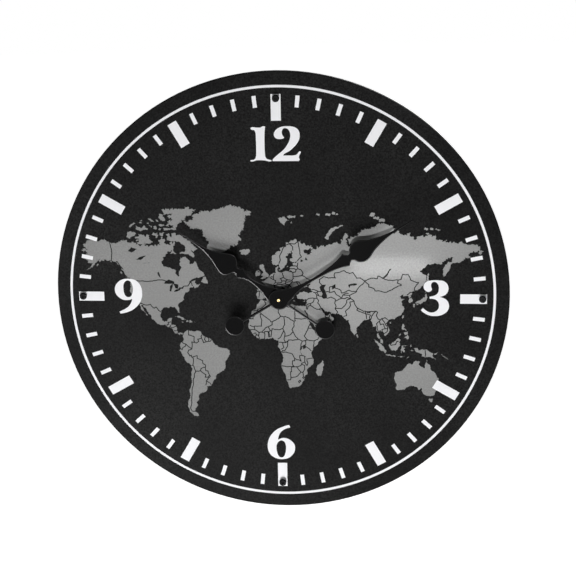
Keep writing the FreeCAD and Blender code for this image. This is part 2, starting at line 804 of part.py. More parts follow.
def make_rotor_pinion():
    low = layer(fifth_layer) - pinion_overlap
    high = layer(fifth_layer) + wheel_thickness + pinion_overlap
    pinion = gear(pinion_teeth, train_module, low, high, rotor_phase, rotor_centre, True)
    rear = rear_bearing(fifth_layer)
    axle = disc(axle_radius, middle_rear + seat_gap, rear - seat_gap, *rotor_centre)
    pivots = disc(pivot_radius, middle_rear - pivot_seat + seat_gap, rear + pivot_seat - seat_gap,
                  *rotor_centre)
    return fused([pinion, axle, pivots])


def make_rotor_magnet():
    return ring(magnet_radius, axle_radius + press_fit, magnet_front(), magnet_front() + magnet_thickness,
                *rotor_centre)


def make_stator():
    front = stator_front()
    rear = front + stator_thickness
    hole_radius = magnet_radius + rotor_gap
    round_part = disc(hole_radius + stator_ring_width, front, rear, *rotor_centre)
    left = rotor_centre[0] - stator_ring_width
    right = coil_offset + stator_arm_width / 2
    upper = block(left, right, front, rear, stator_high - stator_arm_width, stator_high)
    lower = block(left, right, front, rear, stator_low, stator_low + stator_arm_width)
    leg = block(left, rotor_centre[0] + stator_ring_width, front, rear, stator_low, rotor_centre[1])
    neck = block(left, rotor_centre[0] + stator_ring_width, front, rear, rotor_centre[1], stator_high)
    body = fused([round_part, upper, lower, leg, neck])
    return body.cut(disc(hole_radius, front - overrun, rear + overrun, *rotor_centre))


def make_coil_core():
    front = stator_front() + stator_thickness
    body = block(coil_offset - core_half_width, coil_offset + core_half_width, front,
                 front + stator_thickness, stator_low, stator_high)
    return body


def coil_middle():
    return stator_front() + stator_thickness * 1.5


def upright_tube(outer, hole_half_x, hole_half_y, low, high):
    tube = Part.makeCylinder(outer, high - low, V(coil_offset, coil_middle(), low), V(0, 0, 1))
    hole = block(coil_offset - hole_half_x, coil_offset + hole_half_x, coil_middle() - hole_half_y,
                 coil_middle() + hole_half_y, low - overrun, high + overrun)
    return tube.cut(hole)


def make_coil_bobbin():
    half_x = core_half_width + seat_gap
    half_y = stator_thickness / 2 + seat_gap
    spool = [upright_tube(bobbin_tube_radius, half_x, half_y, coil_low, coil_high),
             upright_tube(bobbin_radius, half_x, half_y, coil_low, coil_low + bobbin_flange),
             upright_tube(bobbin_radius, half_x, half_y, coil_high - bobbin_flange, coil_high)]
    return fused(spool)


def make_coil_winding():
    low = coil_low + bobbin_flange
    high = coil_high - bobbin_flange
    tube = Part.makeCylinder(coil_radius, high - low, V(coil_offset, coil_middle(), low), V(0, 0, 1))
    bore = Part.makeCylinder(bobbin_tube_radius, high - low, V(coil_offset, coil_middle(), low), V(0, 0, 1))
    return tube.cut(bore)


# Circuit
def make_circuit_board():
    front = layer(board_layer)
    return block(-board_half_length, board_half_length, front, front + board_thickness, board_low, board_high)


def make_quartz_can():
    front = layer(board_layer) + board_thickness
    middle = (board_low + board_high) / 2
    start = V(board_half_length / 2, front + can_radius, middle)
    can = Part.makeCylinder(can_radius, can_length, start, V(1, 0, 0))
    return can


def make_driver_chip():
    front = layer(board_layer) + board_thickness
    middle = (board_low + board_high) / 2
    x = board_half_length / 4
    ball_radius = (chip_radius ** 2 + chip_height ** 2) / (2 * chip_height)
    ball = Part.makeSphere(ball_radius, V(x, front + chip_height - ball_radius, middle))
    return ball.common(disc(chip_radius + overrun, front, front + chip_height + overrun, x, middle))


# Battery
def bay_middle():
    return (bay_top + case_low + case_wall) / 2


def cell_axis():
    return case_inside + cell_radius + seat_gap


def make_battery_cell():
    start = -cell_length / 2
    z = bay_middle()
    body = Part.makeCylinder(cell_radius, cell_length, V(start, cell_axis(), z), V(1, 0, 0))
    rims = [edge for edge in body.Edges if edge.Curve.TypeId == "Part::GeomCircle"]
    body = body.makeFillet(cell_edge_round, rims)
    cap_start = V(start + cell_length, cell_axis(), z)
    cap = Part.makeCylinder(cell_cap_radius, cell_cap_height, cap_start, V(1, 0, 0))
    return fused([body, cap])


def make_contact(side):
    outer = side * side_face
    inner = side * (side_face - contact_thickness)
    low_x, high_x = min(outer, inner), max(outer, inner)
    z = bay_middle()
    half = contact_width / 2
    leaf = block(low_x, high_x, cell_axis() - half, cell_axis() + half, z - half, bay_top)
    leg_rear = layer(board_layer)
    leg_inner = side * (side_face - contact_thickness - seat_gap)
    leg_outer = side * (side_face - seat_gap)
    leg = block(min(leg_inner, leg_outer), max(leg_inner, leg_outer), leg_rear - half, leg_rear,
                bay_top - contact_thickness, board_high)
    return leaf, leg


# Setting knob
def make_setting_knob():
    front = case_rear + knob_gap
    rear = front + knob_height
    head = disc(knob_radius, front, rear, *knob_centre)
    grooves = []
    for i in range(knob_grooves):
        place = polar(knob_radius, i * turn / knob_grooves, knob_centre)
        grooves.append(disc(knob_groove_radius, front - overrun, rear + overrun, *place))
    head = head.cut(grooves)
    shaft = disc(knob_shaft_radius, layer(motion_layer) + wheel_thickness, front, *knob_centre)
    pinion = gear(knob_pinion_teeth, motion_module, layer(motion_layer) - pinion_overlap,
                  layer(motion_layer) + wheel_thickness, knob_phase, knob_centre, True)
    return fused([head, shaft, pinion])


def main():
    save("dial_plate", make_dial_plate())
    save("dial_screws", make_dial_screws())
    save("tab_nuts", make_tab_nuts())
    save("rear_hoop", make_rear_hoop())
    save("hoop_tabs", make_hoop_tabs())
    save("hanger_plate", make_hanger_plate())
    save("hanger_rivets", make_hanger_rivets())
    save("movement_case", make_movement_case())
    save("movement_cover", make_movement_cover())
    save("middle_plate", make_middle_plate())
    save("threaded_bushing", make_threaded_bushing())
    save("rubber_washer", make_rubber_washer())
    save("fixing_washer", make_fixing_washer())
    save("fixing_nut", make_fixing_nut())
    save("hour_hand", make_hour_hand())
    save("minute_hand", make_minute_hand())
    save("hour_bush", make_bush(hour_bush_bore, hour_hand_above_dial))
    save("minute_bush", make_bush(minute_bush_bore, minute_hand_above_dial))
    save("minute_arbor", make_minute_arbor())
    save("hour_wheel", make_hour_wheel())
    save("motion_wheel", make_motion_wheel())
    save("centre_wheel", make_centre_wheel())
    save("third_wheel", make_third_wheel())
    save("second_wheel", make_second_wheel())
    save("fifth_wheel", make_fifth_wheel())
    save("rotor_pinion", make_rotor_pinion())
    save("rotor_magnet", make_rotor_magnet())
    save("stator", make_stator())
    save("coil_core", make_coil_core())
    save("coil_bobbin", make_coil_bobbin())
    save("coil_winding", make_coil_winding())
    save("circuit_board", make_circuit_board())
    save("quartz_can", make_quartz_can())
    save("driver_chip", make_driver_chip())
    save("battery_cell", make_battery_cell())
    save("positive_contact", fused(list(make_contact(1))))
    save("negative_contact", fused(list(make_contact(-1))))
    save("setting_knob", make_setting_knob())


main()
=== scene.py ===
import math
import random

import bmesh
import bpy
from mathutils import Matrix, Vector, geometry


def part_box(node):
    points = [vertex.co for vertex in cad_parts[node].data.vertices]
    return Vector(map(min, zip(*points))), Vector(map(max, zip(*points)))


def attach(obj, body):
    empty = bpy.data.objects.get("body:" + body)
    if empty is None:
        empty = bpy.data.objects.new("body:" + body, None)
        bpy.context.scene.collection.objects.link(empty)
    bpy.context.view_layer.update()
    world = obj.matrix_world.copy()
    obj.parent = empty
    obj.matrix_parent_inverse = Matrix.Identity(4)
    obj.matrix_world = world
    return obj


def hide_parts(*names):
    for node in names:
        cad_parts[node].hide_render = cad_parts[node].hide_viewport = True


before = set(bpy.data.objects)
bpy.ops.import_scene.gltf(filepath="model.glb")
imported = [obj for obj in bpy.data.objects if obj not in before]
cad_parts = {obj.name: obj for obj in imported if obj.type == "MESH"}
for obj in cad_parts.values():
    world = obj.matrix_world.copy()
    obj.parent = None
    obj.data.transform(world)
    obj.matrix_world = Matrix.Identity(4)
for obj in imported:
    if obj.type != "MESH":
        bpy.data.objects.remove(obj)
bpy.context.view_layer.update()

scene = bpy.context.scene
mm = 0.001
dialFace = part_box("dial_plate")[0][1]
arborLow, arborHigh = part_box("minute_arbor")
handAxis = ((arborLow[0] + arborHigh[0]) / 2, (arborLow[2] + arborHigh[2]) / 2)
print("frame loaded, hands turn at height", round(handAxis[1], 4))


# Short ways to build node trees
def feed(tree, sockets, values):
    # Sockets among the values are linked, and all others are set
    for key, value in values.items():
        if isinstance(value, bpy.types.NodeSocket):
            tree.links.new(value, sockets[key])
        else:
            sockets[key].default_value = value


def addNode(tree, kind, inputs=(), **settings):
    node = tree.nodes.new("ShaderNode" + kind)
    for key, value in settings.items():
        setattr(node, key, value)
    feed(tree, node.inputs, dict(inputs))
    return node


def objectPlace(tree):
    return addNode(tree, "TexCoord").outputs["Object"]


def addNoise(tree, place, scale, grain):
    inputs = {"Vector": place, "Scale": scale, "Detail": grain[0], "Roughness": grain[1]}
    return addNode(tree, "TexNoise", inputs).outputs["Fac"]


def addRange(tree, noise, low, high):
    # Stretches the part of a noise that is most common over a range
    inputs = {"Value": noise, "From Min": noiseCommon[0], "From Max": noiseCommon[1],
              "To Min": low, "To Max": high}
    return addNode(tree, "MapRange", inputs).outputs["Result"]


def addMath(tree, operation, first, second):
    return addNode(tree, "Math", {0: first, 1: second}, operation=operation).outputs[0]


def addMix(tree, factor, first, second):
    # Of a Mix node's sockets, inputs 6 and 7 and output 2 are the colours
    inputs = {0: factor, 6: first, 7: second}
    return addNode(tree, "Mix", inputs, data_type="RGBA").outputs[2]


def addBump(tree, height, look):
    inputs = {"Height": height, "Distance": look["relief"], "Strength": look["bump"]}
    return addNode(tree, "Bump", inputs).outputs["Normal"]


def newGroup(name, inputs, outputs):
    tree = bpy.data.node_groups.new(name, "ShaderNodeTree")
    for side, titles in (("INPUT", inputs), ("OUTPUT", outputs)):
        for title, kind in titles.items():
            tree.interface.new_socket(name=title, in_out=side, socket_type="NodeSocket" + kind)
    given, result = tree.nodes.new("NodeGroupInput"), tree.nodes.new("NodeGroupOutput")
    return tree, given.outputs, result.inputs


def placeGroup(tree, group, values):
    node = tree.nodes.new("ShaderNodeGroup")
    node.node_tree = group
    feed(tree, node.inputs, values)
    return node.outputs


def colourOf(value):
    return (value[0], value[1], value[2], 1.0)


# Shared shader groups. A grain is the detail and the roughness of a noise
noiseCommon = (0.3, 0.7)
surfaceOutputs = {"Colour": "Color", "Roughness": "Float", "Height": "Float"}
speckGroupLook = {"fineGrain": (2.0, 0.6), "broadGrain": (3.0, 0.55), "broadScale": 14.0,
                  "broadShare": (0.4, 1.0)}
rolledGroupLook = {"lineGrain": (4.0, 0.6), "cloudGrain": (3.0, 0.5), "cloudScale": 45.0}
dustGroupLook = {"colour": (0.45, 0.43, 0.4), "steepest": 0.35, "grain": (4.0, 0.7),
                 "scale": 420.0}


def makeSpeckGroup(look):
    tree, given, result = newGroup("fineSpeck", {
        "Colour": "Color", "Speck Colour": "Color", "Scale": "Float", "Amount": "Float",
        "Rough Low": "Float", "Rough High": "Float"}, surfaceOutputs)
    place = objectPlace(tree)
    fine = addNoise(tree, place, given["Scale"], look["fineGrain"])
    broad = addNoise(tree, place, look["broadScale"], look["broadGrain"])
    share = addMath(tree, "MULTIPLY", addRange(tree, fine, 0.0, given["Amount"]),
                    addRange(tree, broad, *look["broadShare"]))
    feed(tree, result, {
        "Colour": addMix(tree, share, given["Colour"], given["Speck Colour"]),
        "Roughness": addRange(tree, broad, given["Rough Low"], given["Rough High"]),
        "Height": fine})
    return tree


def makeRolledGroup(look):
    tree, given, result = newGroup("rolledLines", {
        "Colour": "Color", "Line Colour": "Color", "Stretch": "Vector", "Scale": "Float",
        "Rough Low": "Float", "Rough High": "Float"}, surfaceOutputs)
    place = objectPlace(tree)
    stretched = {0: place, 1: given["Stretch"]}
    spread = addNode(tree, "VectorMath", stretched, operation="MULTIPLY").outputs[0]
    lines = addNoise(tree, spread, given["Scale"], look["lineGrain"])
    cloud = addNoise(tree, place, look["cloudScale"], look["cloudGrain"])
    share = addRange(tree, lines, 0.0, 1.0)
    feed(tree, result, {
        "Colour": addMix(tree, share, given["Colour"], given["Line Colour"]),
        "Roughness": addRange(tree, cloud, given["Rough Low"], given["Rough High"]),
        "Height": lines})
    return tree


def makeDustGroup(look):
    tree, given, result = newGroup(
        "lyingDust", {"Colour": "Color", "Amount": "Float"}, {"Colour": "Color"})
    normal = addNode(tree, "NewGeometry").outputs["Normal"]
    upward = addNode(tree, "SeparateXYZ", {0: normal}).outputs["Z"]
    lying = {"Value": upward, "From Min": look["steepest"]}
    top = addNode(tree, "MapRange", lying).outputs["Result"]
    specks = addNoise(tree, objectPlace(tree), look["scale"], look["grain"])
    mask = addMath(tree, "MULTIPLY", top, addRange(tree, specks, 0.0, given["Amount"]))
    feed(tree, result, {
        "Colour": addMix(tree, mask, given["Colour"], colourOf(look["colour"]))})
    return tree


fineSpeck = makeSpeckGroup(speckGroupLook)
rolledLines = makeRolledGroup(rolledGroupLook)
lyingDust = makeDustGroup(dustGroupLook)
print("shader groups made")


# Finishes
def newFinish(name):
    material = bpy.data.materials.new(name)
    material.use_nodes = True
    tree = material.node_tree
    return material, tree, tree.nodes["Principled BSDF"].inputs


def mouldedFinish(name, look):
    # Paint, ink or moulded plastic: a fine speck over a slow drift, and a little dust on top
    material, tree, shader = newFinish(name)
    look = {**usualMoulded, **look}
    speck = placeGroup(tree, fineSpeck, {
        "Colour": colourOf(look["colour"]), "Speck Colour": colourOf(look["speck"]),
        "Scale": look["scale"], "Amount": look["amount"],
        "Rough Low": look["rough"][0], "Rough High": look["rough"][1]})
    colour = speck["Colour"]
    if "dust" in look:
        dust = {"Colour": colour, "Amount": look["dust"]}
        colour = placeGroup(tree, lyingDust, dust)["Colour"]
    if "rear" in look:
        # The side towards the wall is plain
        normal = addNode(tree, "TexCoord").outputs["Normal"]
        rearward = addNode(tree, "SeparateXYZ", {0: normal}).outputs["Y"]
        behind = addMath(tree, "GREATER_THAN", rearward, look["rearFrom"])
        colour = addMix(tree, behind, colour, colourOf(look["rear"]))
    feed(tree, shader, {
        "Base Color": colour, "Roughness": speck["Roughness"], "Metallic": look["metal"],
        "Specular IOR Level": look["shine"], "Coat Weight": look["coat"],
        "Coat Roughness": look["coatRough"], "Normal": addBump(tree, speck["Height"], look)})
    return material


def metalFinish(name, look):
    # Rolled, drawn or turned metal
    material, tree, shader = newFinish(name)
    look = {**usualMetal, **look}
    rolled = placeGroup(tree, rolledLines, {
        "Colour": colourOf(look["colour"]), "Line Colour": colourOf(look["line"]),
        "Stretch": look["stretch"], "Scale": look["scale"],
        "Rough Low": look["rough"][0], "Rough High": look["rough"][1]})
    feed(tree, shader, {
        "Base Color": rolled["Colour"], "Roughness": rolled["Roughness"],
        "Metallic": look["metal"], "Normal": addBump(tree, rolled["Height"], look)})
    return material


def copperFinish(name, look):
    # Fine enamelled turns side by side along the coil, with painted shade in the grooves between
    # the turns
    material, tree, shader = newFinish(name)
    turns = addNode(tree, "TexWave", {
        "Vector": objectPlace(tree), "Scale": look["turnsScale"], "Distortion": look["stray"]},
        wave_type="BANDS", bands_direction="Z", wave_profile="SIN").outputs["Fac"]
    ramp = addNode(tree, "ValToRGB", {"Fac": turns})
    for stop, colour in zip(ramp.color_ramp.elements, (look["gap"], look["wire"])):
        stop.color = colourOf(colour)
    feed(tree, shader, {
        "Base Color": ramp.outputs["Color"], "Metallic": look["metal"],
        "Roughness": look["rough"], "Normal": addBump(tree, turns, look)})
    return material


def boardFinish(name, look):
    # Green mask with lighter tracks under it
    material, tree, shader = newFinish(name)
    place = objectPlace(tree)
    upright = {"Vector": place, "Rotation": (math.radians(90), 0, 0)}
    tracks = addNode(tree, "TexBrick", {
        "Vector": addNode(tree, "Mapping", upright).outputs["Vector"],
        "Scale": look["trackScale"], "Mortar Size": look["trackWidth"],
        "Color1": colourOf(look["mask"]), "Color2": colourOf(look["maskPale"]),
        "Mortar": colourOf(look["track"])}).outputs
    grain = addNoise(tree, place, look["grainScale"], look["grain"])
    feed(tree, shader, {
        "Base Color": tracks["Color"], "Roughness": addRange(tree, grain, *look["rough"]),
        "Normal": addBump(tree, tracks["Fac"], look)})
    return material


def cellFinish(name, look):
    # Printed sleeve of the cell: dark, copper at the positive end, and bare steel at both ends
    material, tree, shader = newFinish(name)
    place = objectPlace(tree)
    low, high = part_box("battery_cell")
    along = addNode(tree, "MapRange", {
        "Value": addNode(tree, "SeparateXYZ", {0: place}).outputs["X"],
        "From Min": low[0], "From Max": high[0]}).outputs["Result"]
    ramp = addNode(tree, "ValToRGB", {"Fac": along})
    stops = ramp.color_ramp.elements
    ramp.color_ramp.interpolation = "CONSTANT"
    for position, colour in look["bands"]:
        stops.new(position).color = colourOf(colour)
    for unused in (0, -1):
        stops.remove(stops[unused])
    scuffs = addNoise(tree, place, look["scuffScale"], look["scuffGrain"])
    feed(tree, shader, {
        "Base Color": ramp.outputs["Color"], "Metallic": look["metal"],
        "Roughness": addRange(tree, scuffs, *look["rough"]),
        "Normal": addBump(tree, scuffs, look)})
    return material


usualMoulded = {"metal": 0.0, "shine": 0.5, "coat": 0.0, "coatRough": 0.06, "relief": 0.00003,
                "rearFrom": 0.5}
usualMetal = {"metal": 1.0, "relief": 0.00002, "bump": 0.2}
mouldedLooks = {
    "dial_black": {
        "colour": (0.0030, 0.0030, 0.0030), "speck": (0.0225, 0.0225, 0.0222), "scale": 900.0,
        "amount": 1.0, "rough": (0.48, 0.58), "shine": 0.05, "bump": 0.5, "relief": 0.0001,
        "rear": (0.017, 0.0165, 0.016)},
    "screw_black": {
        "colour": (0.0025, 0.0025, 0.0028), "speck": (0.008, 0.008, 0.0085), "scale": 2600.0,
        "amount": 0.5, "rough": (0.3, 0.42), "shine": 0.12, "bump": 0.2},
    "hoop_black": {
        "colour": (0.022, 0.022, 0.023), "speck": (0.050, 0.050, 0.051), "scale": 1400.0,
        "amount": 0.7, "rough": (0.42, 0.6), "shine": 0.5, "bump": 0.5, "relief": 0.00008,
        "dust": 0.10},
    "case_plastic": {
        "colour": (0.024, 0.0245, 0.026), "speck": (0.050, 0.051, 0.054), "scale": 1900.0,
        "amount": 0.8, "rough": (0.45, 0.6), "bump": 0.55, "relief": 0.00007, "dust": 0.16},
    "plate_plastic": {
        "colour": (0.62, 0.60, 0.54), "speck": (0.70, 0.68, 0.63), "scale": 700.0, "amount": 0.6,
        "rough": (0.32, 0.45), "bump": 0.15},
    "washer_rubber": {
        "colour": (0.012, 0.012, 0.012), "speck": (0.03, 0.03, 0.03), "scale": 1700.0,
        "amount": 0.7, "rough": (0.7, 0.85), "shine": 0.3, "bump": 0.5},
    "hand_black": {
        "colour": (0.0009, 0.0009, 0.001), "speck": (0.0025, 0.0025, 0.0028), "scale": 2400.0,
        "amount": 0.7, "rough": (0.34, 0.44), "shine": 0.035, "bump": 0.12, "relief": 0.00003},
    "handEdge": {
        "colour": (0.001, 0.001, 0.0012), "speck": (0.003, 0.003, 0.0032), "scale": 2400.0,
        "amount": 0.6, "rough": (0.18, 0.26), "shine": 0.6, "bump": 0.1, "relief": 0.00002},
    "wheel_plastic": {
        "colour": (0.72, 0.70, 0.64), "speck": (0.80, 0.78, 0.74), "scale": 900.0, "amount": 0.5,
        "rough": (0.28, 0.4), "bump": 0.12},
    "chip_resin": {
        "colour": (0.012, 0.012, 0.013), "speck": (0.04, 0.04, 0.04), "scale": 3000.0,
        "amount": 0.6, "rough": (0.3, 0.45), "bump": 0.3},
    "magnet_grey": {
        "colour": (0.06, 0.058, 0.056), "speck": (0.12, 0.118, 0.115), "scale": 2600.0,
        "amount": 0.8, "rough": (0.4, 0.55), "metal": 0.4, "bump": 0.4},
    "knob_plastic": {
        "colour": (0.030, 0.030, 0.032), "speck": (0.060, 0.060, 0.063), "scale": 1900.0,
        "amount": 0.7, "rough": (0.35, 0.5), "bump": 0.35, "dust": 0.1},
    "mapSilver": {
        "colour": (0.138, 0.139, 0.136), "speck": (0.214, 0.215, 0.211), "scale": 800.0,
        "amount": 1.0, "rough": (0.30, 0.36), "metal": 0.1, "shine": 0.55, "coat": 0.022,
        "bump": 0.3, "relief": 0.00005},
    "printWhite": {
        "colour": (0.87, 0.87, 0.895), "speck": (0.91, 0.91, 0.92), "scale": 1300.0, "amount": 0.8,
        "rough": (0.34, 0.42), "shine": 0.4, "bump": 0.25},
    "printBlack": {
        "colour": (0.0045, 0.0045, 0.005), "speck": (0.012, 0.012, 0.012), "scale": 1500.0,
        "amount": 0.7, "rough": (0.5, 0.62), "shine": 0.08, "bump": 0.25},
}
metalLooks = {
    "zinc_steel": {
        "colour": (0.56, 0.57, 0.58), "line": (0.44, 0.45, 0.47), "stretch": (2.0, 2.0, 40.0),
        "scale": 40.0, "rough": (0.3, 0.46)},
    "rivet_aluminium": {
        "colour": (0.66, 0.67, 0.68), "line": (0.52, 0.53, 0.55), "stretch": (1.0, 6.0, 1.0),
        "scale": 300.0, "rough": (0.28, 0.42)},
    "brass_plain": {
        "colour": (0.70, 0.50, 0.22), "line": (0.56, 0.38, 0.15), "stretch": (1.0, 20.0, 1.0),
        "scale": 160.0, "rough": (0.24, 0.38)},
    "brass_bright": {
        "colour": (0.88, 0.70, 0.36), "line": (0.78, 0.58, 0.26), "stretch": (1.0, 30.0, 1.0),
        "scale": 120.0, "rough": (0.12, 0.2), "bump": 0.08},
    "soft_iron": {
        "colour": (0.42, 0.42, 0.43), "line": (0.32, 0.32, 0.33), "stretch": (30.0, 1.0, 1.0),
        "scale": 60.0, "rough": (0.3, 0.45)},
}
# The dark colour between the turns is painted shade in the grooves, a darkened copy of the copper
windingLook = {"turnsScale": 1400.0, "stray": 0.6, "gap": (0.16, 0.05, 0.02),
               "wire": (0.72, 0.30, 0.13), "metal": 0.8, "rough": 0.32, "relief": 0.00005,
               "bump": 0.8}
boardLook = {"trackScale": 220.0, "trackWidth": 0.06, "mask": (0.02, 0.16, 0.06),
             "maskPale": (0.025, 0.19, 0.075), "track": (0.10, 0.36, 0.16),
             "rough": (0.3, 0.42), "grainScale": 300.0, "grain": (3.0, 0.6),
             "relief": 0.00004, "bump": 0.5}
cellLook = {"bands": [(0.0, (0.62, 0.62, 0.62)), (0.012, (0.03, 0.031, 0.035)),
                      (0.70, (0.62, 0.34, 0.14)), (0.955, (0.66, 0.66, 0.66))],
            "metal": 0.55, "rough": (0.25, 0.4), "scuffScale": 260.0, "scuffGrain": (5.0, 0.7),
            "relief": 0.00002, "bump": 0.2}
finishes = {}
for makeFinish, looks in (
        (mouldedFinish, mouldedLooks), (metalFinish, metalLooks),
        (copperFinish, {"winding_copper": windingLook}),
        (boardFinish, {"board_green": boardLook}), (cellFinish, {"cell_label": cellLook})):
    for name, look in looks.items():
        finishes[name] = makeFinish(name, look)

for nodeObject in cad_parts.values():
    for holder in nodeObject.material_slots:
        holder.material = finishes[holder.material.name.split(".")[0]]
# The photo shows no brass round the hub, so the washer and nut in front are blackened
for node in ("fixing_washer", "fixing_nut"):
    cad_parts[node].material_slots[0].material = finishes["screw_black"]
print("finishes made:", len(finishes))


# Short ways to make pieces
def newObject(name, data):
    made = bpy.data.objects.new(name, data)
    scene.collection.objects.link(made)
    return made


def meshFrom(name, shape):
    mesh = bpy.data.meshes.new(name)
    shape.to_mesh(mesh)
    shape.free()
    return mesh


def onDial(point, height):
    # A flat point about the hand axis and a height above the dial, all in millimetres
    return (handAxis[0] + point[0] * mm, dialFace - height * mm, handAxis[1] + point[1] * mm)


